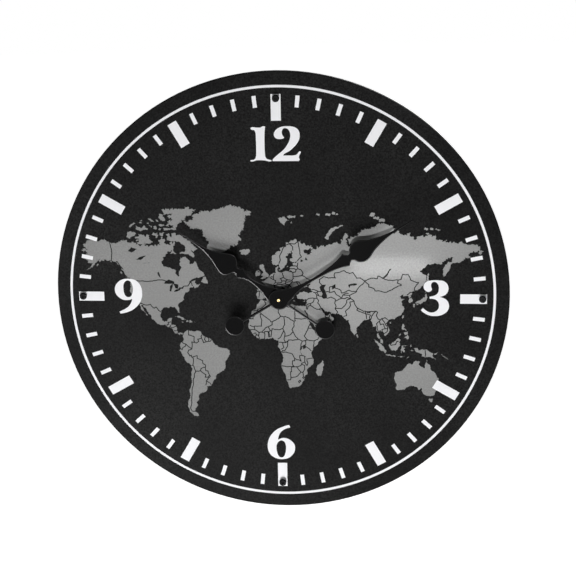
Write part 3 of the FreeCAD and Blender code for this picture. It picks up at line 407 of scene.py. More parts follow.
# Coasts as longitude and latitude in degrees, each one closed line
landOutlines = {
    "americas": [
        (-168, 65.6), (-162, 66.2), (-164, 67.2), (-166.5, 68.4), (-163, 69.6), (-156.5, 71.3),
        (-150, 70.5), (-141, 69.6), (-136, 69), (-132, 69.8), (-127.5, 70.4), (-124.5, 69.5),
        (-119, 69.1), (-114.5, 68.2), (-109, 67.9), (-104, 68.1), (-98, 67.8), (-96, 68.3),
        (-94.5, 71.8), (-92, 71), (-91.5, 69.6), (-88.5, 68.8), (-86.5, 67.4), (-84.5, 69.3),
        (-81.8, 69.5), (-82, 68), (-83.5, 66.4), (-87, 65.2), (-90.5, 63.7), (-93.5, 62),
        (-94.7, 59.5), (-92.5, 57), (-88.5, 56.4), (-82.3, 55.1), (-82.2, 52.8), (-80.2, 51.2),
        (-78.8, 51.6), (-79, 54.2), (-76.6, 56.5), (-78.4, 58.8), (-77.8, 62.4), (-73.5, 62.3),
        (-69.6, 60.8), (-69.3, 58.8), (-66.5, 58.7), (-64.5, 60.3), (-62.3, 57.8), (-60, 55),
        (-57, 53.8), (-55.8, 52.3), (-58.5, 51), (-65, 50.3), (-68.5, 49), (-70.5, 47), (-64.6, 49),
        (-65, 47.2), (-63.8, 45.9), (-60.2, 46.6), (-61.5, 45.2), (-65.7, 43.6), (-66, 44.9),
        (-70, 43.7), (-70.5, 41.7), (-74, 40.6), (-75.3, 38.5), (-76, 37), (-75.6, 35.3),
        (-78.5, 33.8), (-81.2, 31.8), (-80.3, 28.2), (-80.2, 25.4), (-81.6, 25.8), (-82.8, 28.4),
        (-84.5, 30), (-88.8, 30.3), (-89.4, 29.1), (-94, 29.6), (-97.3, 27.3), (-97.8, 22.5),
        (-96.3, 19.2), (-94.4, 18.1), (-91.6, 18.6), (-90.3, 21), (-87.1, 21.5), (-87.8, 18.6),
        (-88.7, 16), (-86, 15.9), (-83.3, 15), (-83.6, 10.9), (-82, 9), (-79.5, 9.5), (-77.2, 8.2),
        (-75.5, 10.6), (-71.8, 12.4), (-71.3, 10.8), (-68.2, 10.7), (-62, 10.7), (-60.5, 8.6),
        (-57, 6), (-51.7, 4.2), (-50, 1.2), (-48.4, -0.8), (-44, -2.6), (-39, -3.3), (-35.4, -5.2),
        (-34.8, -7.8), (-37.5, -11.6), (-39, -13.5), (-39.2, -17.5), (-41, -21.8), (-44.5, -23.2),
        (-48.4, -26), (-49, -28.8), (-53.5, -34), (-57.6, -34.6), (-56.8, -36.6), (-58.2, -38.3),
        (-62, -39.2), (-65, -41.1), (-65.4, -44.6), (-67.5, -46.2), (-66, -47.9), (-69, -51.6),
        (-65.3, -54.7), (-69.5, -55.2), (-73.8, -52.8), (-75.4, -48.5), (-73.2, -43.5),
        (-73.6, -38), (-71.5, -32.5), (-71.2, -28.5), (-70.2, -21), (-70.8, -17.9), (-75.5, -15.2),
        (-78.8, -8.8), (-81.3, -5.6), (-80.2, -3.3), (-80.8, -1.8), (-80, 0.6), (-77.5, 2.8),
        (-77.6, 7), (-79.7, 8.8), (-80.6, 7.3), (-83, 8.3), (-85.8, 10.2), (-87.6, 13),
        (-91.8, 14.1), (-94, 16.1), (-96.5, 15.7), (-102.2, 17.9), (-105.5, 20.2), (-106, 22.5),
        (-109.3, 26.2), (-112.5, 29.4), (-113.2, 31.3), (-114.8, 31.4), (-112.9, 27.9),
        (-111.1, 25.4), (-109.5, 23.1), (-110.6, 23.4), (-112.3, 25.9), (-115, 27.8),
        (-116.2, 30.8), (-118.4, 34), (-120.6, 34.6), (-122.4, 37.3), (-124.3, 40.4), (-123.9, 46),
        (-124.6, 48.3), (-122.8, 48.6), (-127.3, 51.2), (-130.3, 54.6), (-133.8, 57.9),
        (-139.6, 59.7), (-146, 60.8), (-151.6, 59.3), (-151.2, 61), (-154.2, 59.2), (-158, 56.4),
        (-163.8, 54.7), (-160.3, 56.2), (-157.4, 58.7), (-162, 58.8), (-162.2, 60), (-165.8, 61.6),
        (-164.5, 63.1), (-161, 64.4), (-166, 64.5)],
    "baffin": [
        (-89.6, 73.2), (-87.2, 73.6), (-86.2, 72.4), (-85, 71.4), (-84.4, 73.6), (-81, 73.6),
        (-80.4, 72.6), (-78, 72.8), (-74, 71.8), (-70.5, 71), (-71, 70.4), (-67.8, 69.9),
        (-67.2, 69), (-63.5, 67.6), (-61.6, 66.6), (-65, 65), (-67.8, 66.4), (-66.6, 65),
        (-64.6, 63.2), (-66, 62), (-69, 63.2), (-72, 63.8), (-78, 64.5), (-73.6, 64.9), (-72.4, 66),
        (-73, 68), (-76.6, 69), (-79, 70), (-83, 69.9), (-89, 70.5), (-88.4, 71.8)],
    "victoria": [
        (-117.2, 70), (-113, 70.2), (-116.6, 69.4), (-113.5, 68.6), (-109, 68.7), (-105, 68.9),
        (-101.8, 69.6), (-103.6, 70.4), (-105.4, 71.2), (-104.8, 72.8), (-107.4, 73.2),
        (-108.4, 71.8), (-110.6, 72.9), (-114.5, 73.2), (-114, 72.4), (-118.8, 71.8), (-117.6, 71),
        (-113.6, 71.1), (-117, 70.6)],
    "banks": [(-125.5, 72.2), (-122.5, 71.2), (-116.6, 73.3), (-121, 74.4), (-124.6, 74.2)],
    "ellesmere": [
        (-89.4, 76.4), (-84.5, 76.7), (-80, 76.1), (-77.8, 77.4), (-75.4, 78.6), (-72, 79.4),
        (-66, 80.6), (-61.8, 82.4), (-72, 83.1), (-84, 82.6), (-92, 81.8), (-91, 81.3),
        (-84.5, 81.1), (-81, 80.6), (-85, 80.2), (-88, 79.8), (-86, 79.3), (-82.5, 78.9),
        (-86.5, 78.6), (-88, 78.1), (-83.5, 77.6), (-88.6, 77.3)],
    "heiberg": [
        (-95, 81), (-91.8, 80.5), (-92.2, 80), (-90.4, 79.4), (-90, 78.5), (-91.8, 78.3),
        (-95.8, 79.5)],
    "devon": [(-92, 75.6), (-86, 75.4), (-80.5, 75.6), (-80, 74.9), (-91.5, 74.8)],
    "melville": [
        (-117, 75.3), (-113.5, 74.5), (-110.5, 74.9), (-107, 74.8), (-105.8, 75.5), (-108, 75.7),
        (-108.6, 76.6), (-110.3, 75.9), (-112.4, 75.5), (-114.2, 76), (-116.8, 76.6),
        (-115, 75.7)],
    "walesIsland": [
        (-102.4, 72.9), (-99.8, 72.6), (-98.8, 71.4), (-97.6, 71.9), (-96.6, 72.6), (-98, 73),
        (-97.4, 73.8), (-99.2, 73.4), (-101.4, 73.7)],
    "somerset": [
        (-95.6, 73.6), (-95, 72.6), (-93, 72.2), (-92.4, 72.9), (-90.8, 73.9), (-93, 73.5)],
    "bathurst": [(-101.2, 75.4), (-98.6, 75), (-97.6, 75.5), (-98.4, 76.5), (-100.2, 76.4)],
    "ringnes": [(-105.4, 79.2), (-103.6, 79.3), (-100.6, 78.3), (-100, 77.9), (-101.8, 78.1)],
    "patrick": [(-122.6, 76), (-121.4, 75.9), (-118.6, 77), (-116.4, 77.5), (-119.4, 77.5)],
    "grinnell": [(-96, 76.9), (-93.5, 76.3), (-90.5, 76.5), (-91, 77), (-94, 77.2)],
    "cornwallis": [(-96.4, 75.2), (-94.4, 74.8), (-93.6, 75.4), (-95.4, 75.7)],
    "cameron": [(-104.6, 76.3), (-102, 75.9), (-102.6, 76.5), (-104.2, 76.8)],
    "lougheed": [(-106.6, 77.5), (-104.8, 77.2), (-105, 77.8)],
    "borden": [(-112.8, 78.4), (-110, 78.2), (-111, 78.8)],
    "mackenzieKing": [(-113.6, 77.8), (-111, 77.5), (-111.6, 78)],
    "amund": [(-98.4, 79), (-96.4, 78.4), (-96, 78), (-98, 78.2)],
    "southampton": [(-86.6, 64.2), (-82, 63.8), (-80.6, 64), (-84.6, 65.9)],
    "newfoundland": [
        (-59.2, 47.8), (-55.6, 46.9), (-53.2, 46.8), (-53.4, 48.6), (-55.8, 51.3),
        (-57.6, 50.2)],
    "vancouver": [(-123.6, 48.4), (-128.2, 50.7), (-125.6, 50.2)],
    "haida": [(-131.2, 52.3), (-133, 53.8), (-131.8, 54)],
    "kodiak": [(-154.4, 57), (-152.4, 57.8), (-152.6, 58.4), (-154.6, 57.7)],
    "cuba": [
        (-84.8, 21.9), (-82.2, 23.1), (-79.2, 22.6), (-74.3, 20.2), (-77.6, 19.9), (-78.6, 21.2),
        (-82.4, 22.4)],
    "hispaniola": [(-74.3, 18.4), (-73, 19.9), (-69.8, 19.7), (-68.5, 18.5), (-71.4, 17.8)],
    "jamaica": [(-78.3, 18.5), (-76.3, 18.1), (-77.6, 17.8)],
    "puertoRico": [(-67.2, 18.5), (-65.7, 18.4), (-66.4, 17.9)],
    "greenland": [
        (-73, 78.3), (-68.5, 76.2), (-58.8, 75.6), (-55, 72), (-51.2, 69.6), (-53.8, 67),
        (-51.4, 63.6), (-48.2, 60.9), (-44, 59.9), (-42.2, 62), (-40, 65), (-34, 66.8), (-25, 69),
        (-22, 70.6), (-24.4, 72.4), (-20, 74.6), (-19.4, 78), (-17.6, 79.8), (-12.6, 81.4),
        (-21, 82.6), (-33, 83.6), (-46, 82.6), (-58.4, 81.9), (-64.4, 80.3), (-64, 79.5)],
    "iceland": [
        (-22.6, 63.9), (-18.7, 63.4), (-13.7, 65), (-16, 66.5), (-21.2, 66.1), (-24.3, 65.6),
        (-22.4, 64.9)],
    "oldWorld": [
        (25.7, 71.1), (31, 70.3), (41, 67.6), (41.2, 66.5), (34.5, 66.4), (34.8, 64.5), (38.2, 64),
        (40, 65.8), (44, 66.4), (44.4, 68.2), (47, 67.2), (54, 68.5), (60.5, 69.6), (67, 68.9),
        (66.8, 71), (69.2, 72.9), (72.6, 72.7), (72.2, 68.4), (74.4, 67.8), (75.2, 72.4),
        (80.6, 72.2), (81.4, 73.8), (87, 75), (98, 76.3), (104.3, 77.7), (112.6, 76.4),
        (113.6, 75.4), (106.4, 73.2), (113.4, 73.6), (122.6, 73), (127.2, 73.4), (129.6, 71.2),
        (133, 71.7), (139.8, 72.4), (149.4, 72.2), (153, 70.9), (160, 69.7), (169.4, 69.4),
        (170.6, 70.1), (180, 69), (190.3, 66), (186.8, 64.4), (181.4, 65.9), (177.6, 64.6),
        (179.2, 62.5), (174, 61.7), (170.2, 59.9), (163.4, 59.4), (161.4, 56.3), (158.8, 53.8),
        (156.6, 51.8), (155.8, 54.8), (156.6, 57.6), (163.6, 61.4), (164.4, 62.5), (160, 61.8),
        (155, 59.4), (149, 59.5), (143, 59.3), (137.6, 56), (135.4, 54.7), (141.3, 52.8),
        (140.3, 48.2), (135.6, 44.2), (130.8, 42.6), (127.5, 39.7), (129.4, 37), (129, 35.2),
        (126.4, 34.5), (126.6, 37.4), (124.8, 39.6), (121.3, 38.9), (121.6, 40.8), (118, 39),
        (119.2, 37.3), (122.5, 37.2), (119.4, 35), (121.8, 31.8), (121.6, 28.4), (119, 25.2),
        (114, 22.4), (108.4, 21.6), (105.8, 18.9), (109.2, 13.4), (108.8, 11.2), (105, 8.7),
        (104.7, 10.4), (100.9, 13.4), (99.2, 10), (100.4, 8), (103.3, 4.4), (104.2, 1.4),
        (101.2, 2.9), (100.2, 6.2), (98.3, 8.2), (98.6, 12), (97.2, 16.8), (94.4, 16), (94, 19.4),
        (91.6, 22.6), (87, 21.4), (82.3, 16.6), (80.2, 15), (79.8, 10.4), (77.5, 8.1), (74.7, 13.4),
        (72.8, 19.6), (72.4, 21.4), (70.6, 20.8), (68.9, 22.4), (66.8, 25.1), (57.4, 25.6),
        (56.6, 27.1), (51.6, 27.8), (49.6, 30.2), (48, 29.6), (50.2, 26.5), (51.4, 25.8),
        (51.8, 24.1), (54, 24.1), (56.4, 26.2), (57, 24), (59.8, 22.4), (57.6, 18.9), (52.4, 15.8),
        (45, 12.8), (43.3, 12.8), (42.4, 16.8), (38.9, 21.6), (34.8, 28.2), (34.9, 29.4),
        (34.2, 27.8), (32.6, 29.9), (35.6, 23.9), (37.3, 20.6), (39.6, 15.4), (43.2, 11.8),
        (44.6, 10.4), (51.2, 11.9), (49.4, 6.6), (45.2, 2), (40.6, -2.6), (39.2, -6), (40.6, -11),
        (40.4, -15.6), (34.9, -19.9), (35.4, -23.8), (32.8, -25.7), (32.2, -28.8), (27.8, -33.1),
        (22, -34.1), (20, -34.8), (18.2, -33.6), (17.2, -30), (14.5, -22.8), (11.8, -17.6),
        (13.8, -11), (12.2, -6), (8.9, -1), (9.7, 4), (6.2, 4.3), (4.2, 6.3), (-1.6, 4.9),
        (-4.5, 5.2), (-7.6, 4.4), (-12.6, 7.6), (-15, 10.9), (-17.5, 14.7), (-16.4, 19), (-17, 21),
        (-13, 27.8), (-9.8, 30), (-9.3, 32.5), (-5.8, 35.8), (-2, 35.1), (3, 36.8), (10.4, 37.2),
        (10.4, 34), (15.3, 32.3), (19.2, 30.3), (21.6, 32.9), (25.6, 31.6), (31, 31.5),
        (34.4, 31.4), (36, 35.8), (35.6, 36.6), (30.5, 36.6), (27.5, 36.9), (26.4, 39.4),
        (29, 40.4), (29.2, 41.2), (33.4, 42), (38, 41), (41.5, 41.6), (39.6, 43.6), (37.2, 45),
        (39.2, 47.1), (35.2, 46.4), (36.4, 45.3), (33.6, 44.5), (33, 46.1), (30.6, 46.4),
        (28.6, 43.8), (28.2, 41.4), (23.8, 40.6), (24, 37.8), (22.6, 36.6), (19.4, 40.4),
        (19.5, 41.9), (13.8, 45), (12.3, 45.2), (13.8, 42.8), (18.4, 40.1), (16.8, 40.2),
        (16, 38.1), (15.6, 40), (12.2, 41.8), (8.8, 44.4), (3.4, 43.2), (3, 41.7), (-0.4, 38.8),
        (-2.2, 36.8), (-5.5, 36.1), (-8.9, 37), (-9.4, 38.8), (-9.2, 43.1), (-1.6, 43.4),
        (-1.3, 46), (-4.7, 48.2), (-1.6, 48.8), (1.7, 50.9), (4.8, 53), (8.6, 53.9), (8.2, 56.8),
        (10.6, 57.7), (10, 54.6), (14.2, 54), (18.6, 54.7), (21, 55.3), (21.6, 57.4), (24.2, 57.2),
        (23.6, 59.3), (29.8, 60), (22.8, 60), (21.4, 62), (25.3, 65.1), (22.2, 65.8), (17.4, 62.4),
        (18.8, 59.8), (16.2, 56.8), (12.9, 55.5), (11.2, 59), (8, 58.1), (5.3, 59), (5.2, 62),
        (13, 66), (18.6, 69.6)],
    "britain": [
        (-5.6, 50.1), (1.4, 51.2), (1.6, 52.8), (-0.4, 54.2), (-2, 57.6), (-3.2, 58.6),
        (-5.2, 58.5), (-6, 56.6), (-3.2, 54.9), (-3, 53.5), (-4.8, 52.8), (-5, 51.8),
        (-3, 51.4)],
    "ireland": [(-6.2, 52.2), (-10.2, 51.8), (-9.6, 54.1), (-7.2, 55.3), (-5.6, 54.4)],
    "svalbard": [
        (10.8, 79.6), (13, 78.2), (16.6, 76.7), (17.6, 78), (21, 78.6), (18, 79.2), (16.4, 80)],
    "northEastLand": [(18.6, 79.9), (21, 79.3), (26.4, 79.6), (26.8, 80.2), (21.4, 80.4)],
    "edgeIsle": [(21.4, 77.6), (24.2, 77.6), (23, 78.3)],
    "alexandra": [(44.5, 80.5), (47.5, 80.2), (47.8, 80.9), (45, 81)],
    "franzJosef": [(53, 80.3), (57, 80.2), (57.6, 80.9), (54, 81.1)],
    "grahamBell": [(58.4, 81), (61, 80.6), (61.8, 81.2), (59.6, 81.6)],
    "kongKarl": [(62, 80.4), (64.6, 80.6), (64, 81), (62.4, 80.9)],
    "whiteIsle": [(30.6, 80.1), (33.4, 80), (33.4, 80.4), (31, 80.4)],
    "novayaZemlya": [
        (52.2, 71.5), (55, 70.9), (55.8, 72.3), (58.6, 74.2), (62.5, 75.5), (68.6, 76.6), (68, 77),
        (61.5, 76.2), (57, 75.1), (54.4, 73.5), (53.4, 72.5)],
    "komsomolets": [(91.4, 80.2), (95.6, 80), (96.4, 80.9), (93, 81.3)],
    "october": [(94.6, 79.4), (99.4, 79), (100, 79.8), (96.4, 80)],
    "bolshevik": [(99.6, 78.3), (105, 78.3), (104.6, 79.1), (100.4, 79.2)],
    "kotelny": [(138.4, 75.3), (141.2, 74.8), (142.8, 75.4), (139.6, 75.9)],
    "faddeyev": [(143.8, 75.2), (146.6, 75), (147, 75.6), (144.6, 75.9)],
    "newSiberia": [(148.4, 75.1), (152, 74.8), (153, 75.2), (149.6, 75.6)],
    "lyakhov": [(140.2, 73.4), (143.4, 73.3), (142.6, 73.9)],
    "wrangel": [(178.6, 71), (182.2, 70.9), (180.6, 71.6)],
    "sakhalin": [
        (142.3, 53.4), (143.1, 54.1), (143.1, 51), (144.4, 48.9), (142.8, 46.2), (142, 47.4)],
    "hokkaido": [(140.2, 41.8), (143.2, 42.1), (145.6, 43.3), (141.8, 45.5), (141.2, 43.2)],
    "honshu": [
        (141.2, 41.4), (142, 39.6), (140.8, 35.8), (135.8, 33.7), (134.6, 34.6), (131, 34.2),
        (132.9, 35.3), (136.9, 36.7), (139.8, 38.3)],
    "kyushu": [(130, 33.5), (131.9, 33.4), (131.2, 31.2), (130.2, 31.4)],
    "shikoku": [(132.6, 34), (134.7, 34.1), (133, 32.9)],
    "taiwan": [(121.2, 25.2), (122, 24.8), (120.8, 22), (120.1, 23.4)],
    "hainan": [(108.6, 19.4), (110.6, 20.1), (110, 18.4)],
    "sriLanka": [(79.9, 9.6), (81.8, 7.6), (80.6, 6)],
    "luzon": [(120.5, 18.5), (122.3, 18.4), (121.6, 15.4), (124, 12.9), (120.4, 14.2)],
    "visayas": [(122, 11.7), (125.2, 12.5), (125.2, 10.2), (122.8, 9.4)],
    "mindanao": [(122, 7), (125.4, 9.8), (126.5, 7.4), (125.2, 5.8), (123.6, 7.4)],
    "palawan": [(117.2, 8.4), (119.6, 11.2), (119.2, 10.2)],
    "borneo": [
        (109, 1.6), (111.4, 2.6), (114.4, 4.6), (117, 6.9), (119.1, 5.2), (117.7, 3.4), (118.9, 1),
        (116.4, -2.4), (114.6, -4), (110.4, -3), (109, -0.2)],
    "sumatra": [
        (95.3, 5.6), (98.4, 4), (103.4, 0.2), (106, -3), (105.8, -5.8), (102.2, -4),
        (98.8, 1.4)],
    "java": [(105.3, -6.7), (108.6, -6.7), (114.5, -7.8), (114.4, -8.6), (106.6, -7.4)],
    "sulawesi": [
        (119, -3), (119.9, 0.6), (123.4, 0.9), (125, 1.5), (123.4, 0.3), (120.4, 0.1), (121.4, -1),
        (123.3, -0.9), (121.8, -2.2), (123, -4.6), (121.6, -4.8), (120.9, -2.8), (120.3, -5.5),
        (119.5, -5.3)],
    "halmahera": [(127.5, 0.4), (128, 2), (128.6, 1.2), (128.2, -0.6)],
    "seram": [(128, -3.2), (130.6, -3.1), (129.6, -3.6)],
    "flores": [(116.4, -8.5), (122.9, -8.2), (119.8, -9)],
    "timor": [(123.6, -10.3), (127.2, -8.4), (125.4, -9.4)],
    "newGuinea": [
        (131, -0.9), (134.2, -0.9), (135.2, -3.2), (137.8, -1.6), (144.4, -3.9), (147.8, -6.1),
        (147.2, -7), (150.8, -10.3), (146.6, -8.9), (143, -8.6), (141, -9.1), (138, -8.2),
        (138.4, -6.4), (132.8, -4), (132, -2.7)],
    "newBritain": [(148.4, -5.7), (152.2, -4.2), (150.4, -6.2)],
    "solomon": [(155, -6), (158, -8), (161.6, -10.2), (157, -7.8)],
    "australia": [
        (114, -22), (113.5, -25.6), (115.7, -31.6), (115, -34.2), (118, -35), (123.6, -33.9),
        (126, -32.4), (131, -31.5), (134.2, -32.8), (135.8, -34.8), (137.8, -33), (138.2, -35.4),
        (140.6, -38), (143.6, -38.8), (146.4, -39), (150, -37.4), (151.3, -33.5), (153.4, -28.6),
        (152.8, -25.2), (149, -20.5), (146.2, -18.8), (145.3, -15), (143.6, -14.2), (142.5, -10.7),
        (141.6, -13), (140.8, -17.5), (138.8, -16.8), (135.6, -15), (136.8, -12.2), (132.6, -11.5),
        (130.7, -12.6), (129.5, -15), (126.8, -13.9), (123.8, -16.4), (122.2, -18.1),
        (118.8, -20.2)],
    "tasmania": [(144.7, -40.8), (148.3, -40.9), (147.4, -43.4), (145.8, -43.2)],
    "madagascar": [
        (49.3, -12), (50.4, -15.7), (47.2, -25), (44.6, -25.2), (43.4, -22.4), (44.2, -17),
        (47.6, -14.6)],
    "corsica": [(8.6, 42.4), (9.4, 43), (9.2, 41.5)],
    "sardinia": [(8.3, 40.9), (9.7, 40.9), (9.4, 39.2), (8.5, 39)],
    "sicily": [(12.4, 38), (15.6, 38.2), (15, 36.7)],
    "crete": [(23.6, 35.5), (26.3, 35.2), (24.8, 34.9)],
    "cyprus": [(32.3, 35), (34.5, 35.6), (33.6, 34.7)],
    "zealand": [(11, 55.6), (12.5, 56), (12.1, 54.9)],
    "gotland": [(18.1, 57.2), (19.2, 57.9), (18.6, 57)],
}
# Lakes, in the same way
lakeOutlines = {
    "caspian": [
        (47, 44.8), (49.4, 46.4), (53, 46.6), (51.2, 44.4), (52.6, 41.8), (53.8, 39.2),
        (53.9, 37.2), (50.6, 36.9), (48.9, 38.2), (49.8, 40.4)],
    "aral": [(58.6, 45.4), (60.8, 46.4), (61, 44.6), (58.8, 43.8)],
    "baikal": [
        (103.6, 51.2), (105.4, 51.6), (107.4, 53), (109.4, 55.4), (108.3, 55.3), (106.8, 53.6),
        (105, 52.3)],
    "ladoga": [(30.8, 60.2), (31, 61.2), (32.8, 60.6)],
    "onega": [(34.6, 61.2), (35.2, 62.2), (36.4, 61)],
    "superior": [(-91.8, 46.8), (-88.2, 48.6), (-84.9, 47.6), (-85, 46.6), (-87.4, 46.7)],
    "michigan": [(-87.9, 42.2), (-87.6, 44.4), (-85.4, 45.8), (-86.3, 43.4), (-86.9, 41.8)],
    "huron": [(-84, 45.9), (-80.8, 45.6), (-81.4, 43.6), (-83, 43.9), (-83.4, 45.1)],
    "erie": [(-83.6, 41.3), (-82.8, 42.2), (-79, 43), (-79.6, 42.2), (-81.6, 41.5)],
    "ontario": [(-79.8, 43.1), (-79.2, 43.8), (-76, 44.3), (-76.6, 43.3)],
    "winnipeg": [(-98.6, 53), (-97.4, 53.4), (-96.6, 50.8), (-97.6, 51.6)],
    "greatSlave": [(-116.6, 61.2), (-112.4, 62.4), (-110, 62.6), (-113.6, 61)],
    "greatBear": [(-124, 65.4), (-121.6, 66.8), (-118, 66.2), (-121.6, 64.9)],
    "athabasca": [(-111, 58.8), (-106.4, 59.3), (-109, 59)],
    "victoriaLake": [(31.9, -0.4), (33.8, 0.3), (34, -1.6), (32.4, -2.6)],
    "tanganyika": [(29.3, -3.6), (30.8, -8.4), (29.8, -6.6)],
    "malawi": [(34, -9.8), (34.9, -13.8), (34.5, -11.8)],
    "balkhash": [(73.6, 46.4), (75.4, 46.9), (79.2, 47), (78.6, 46.3), (75, 46), (74.6, 45)],
}
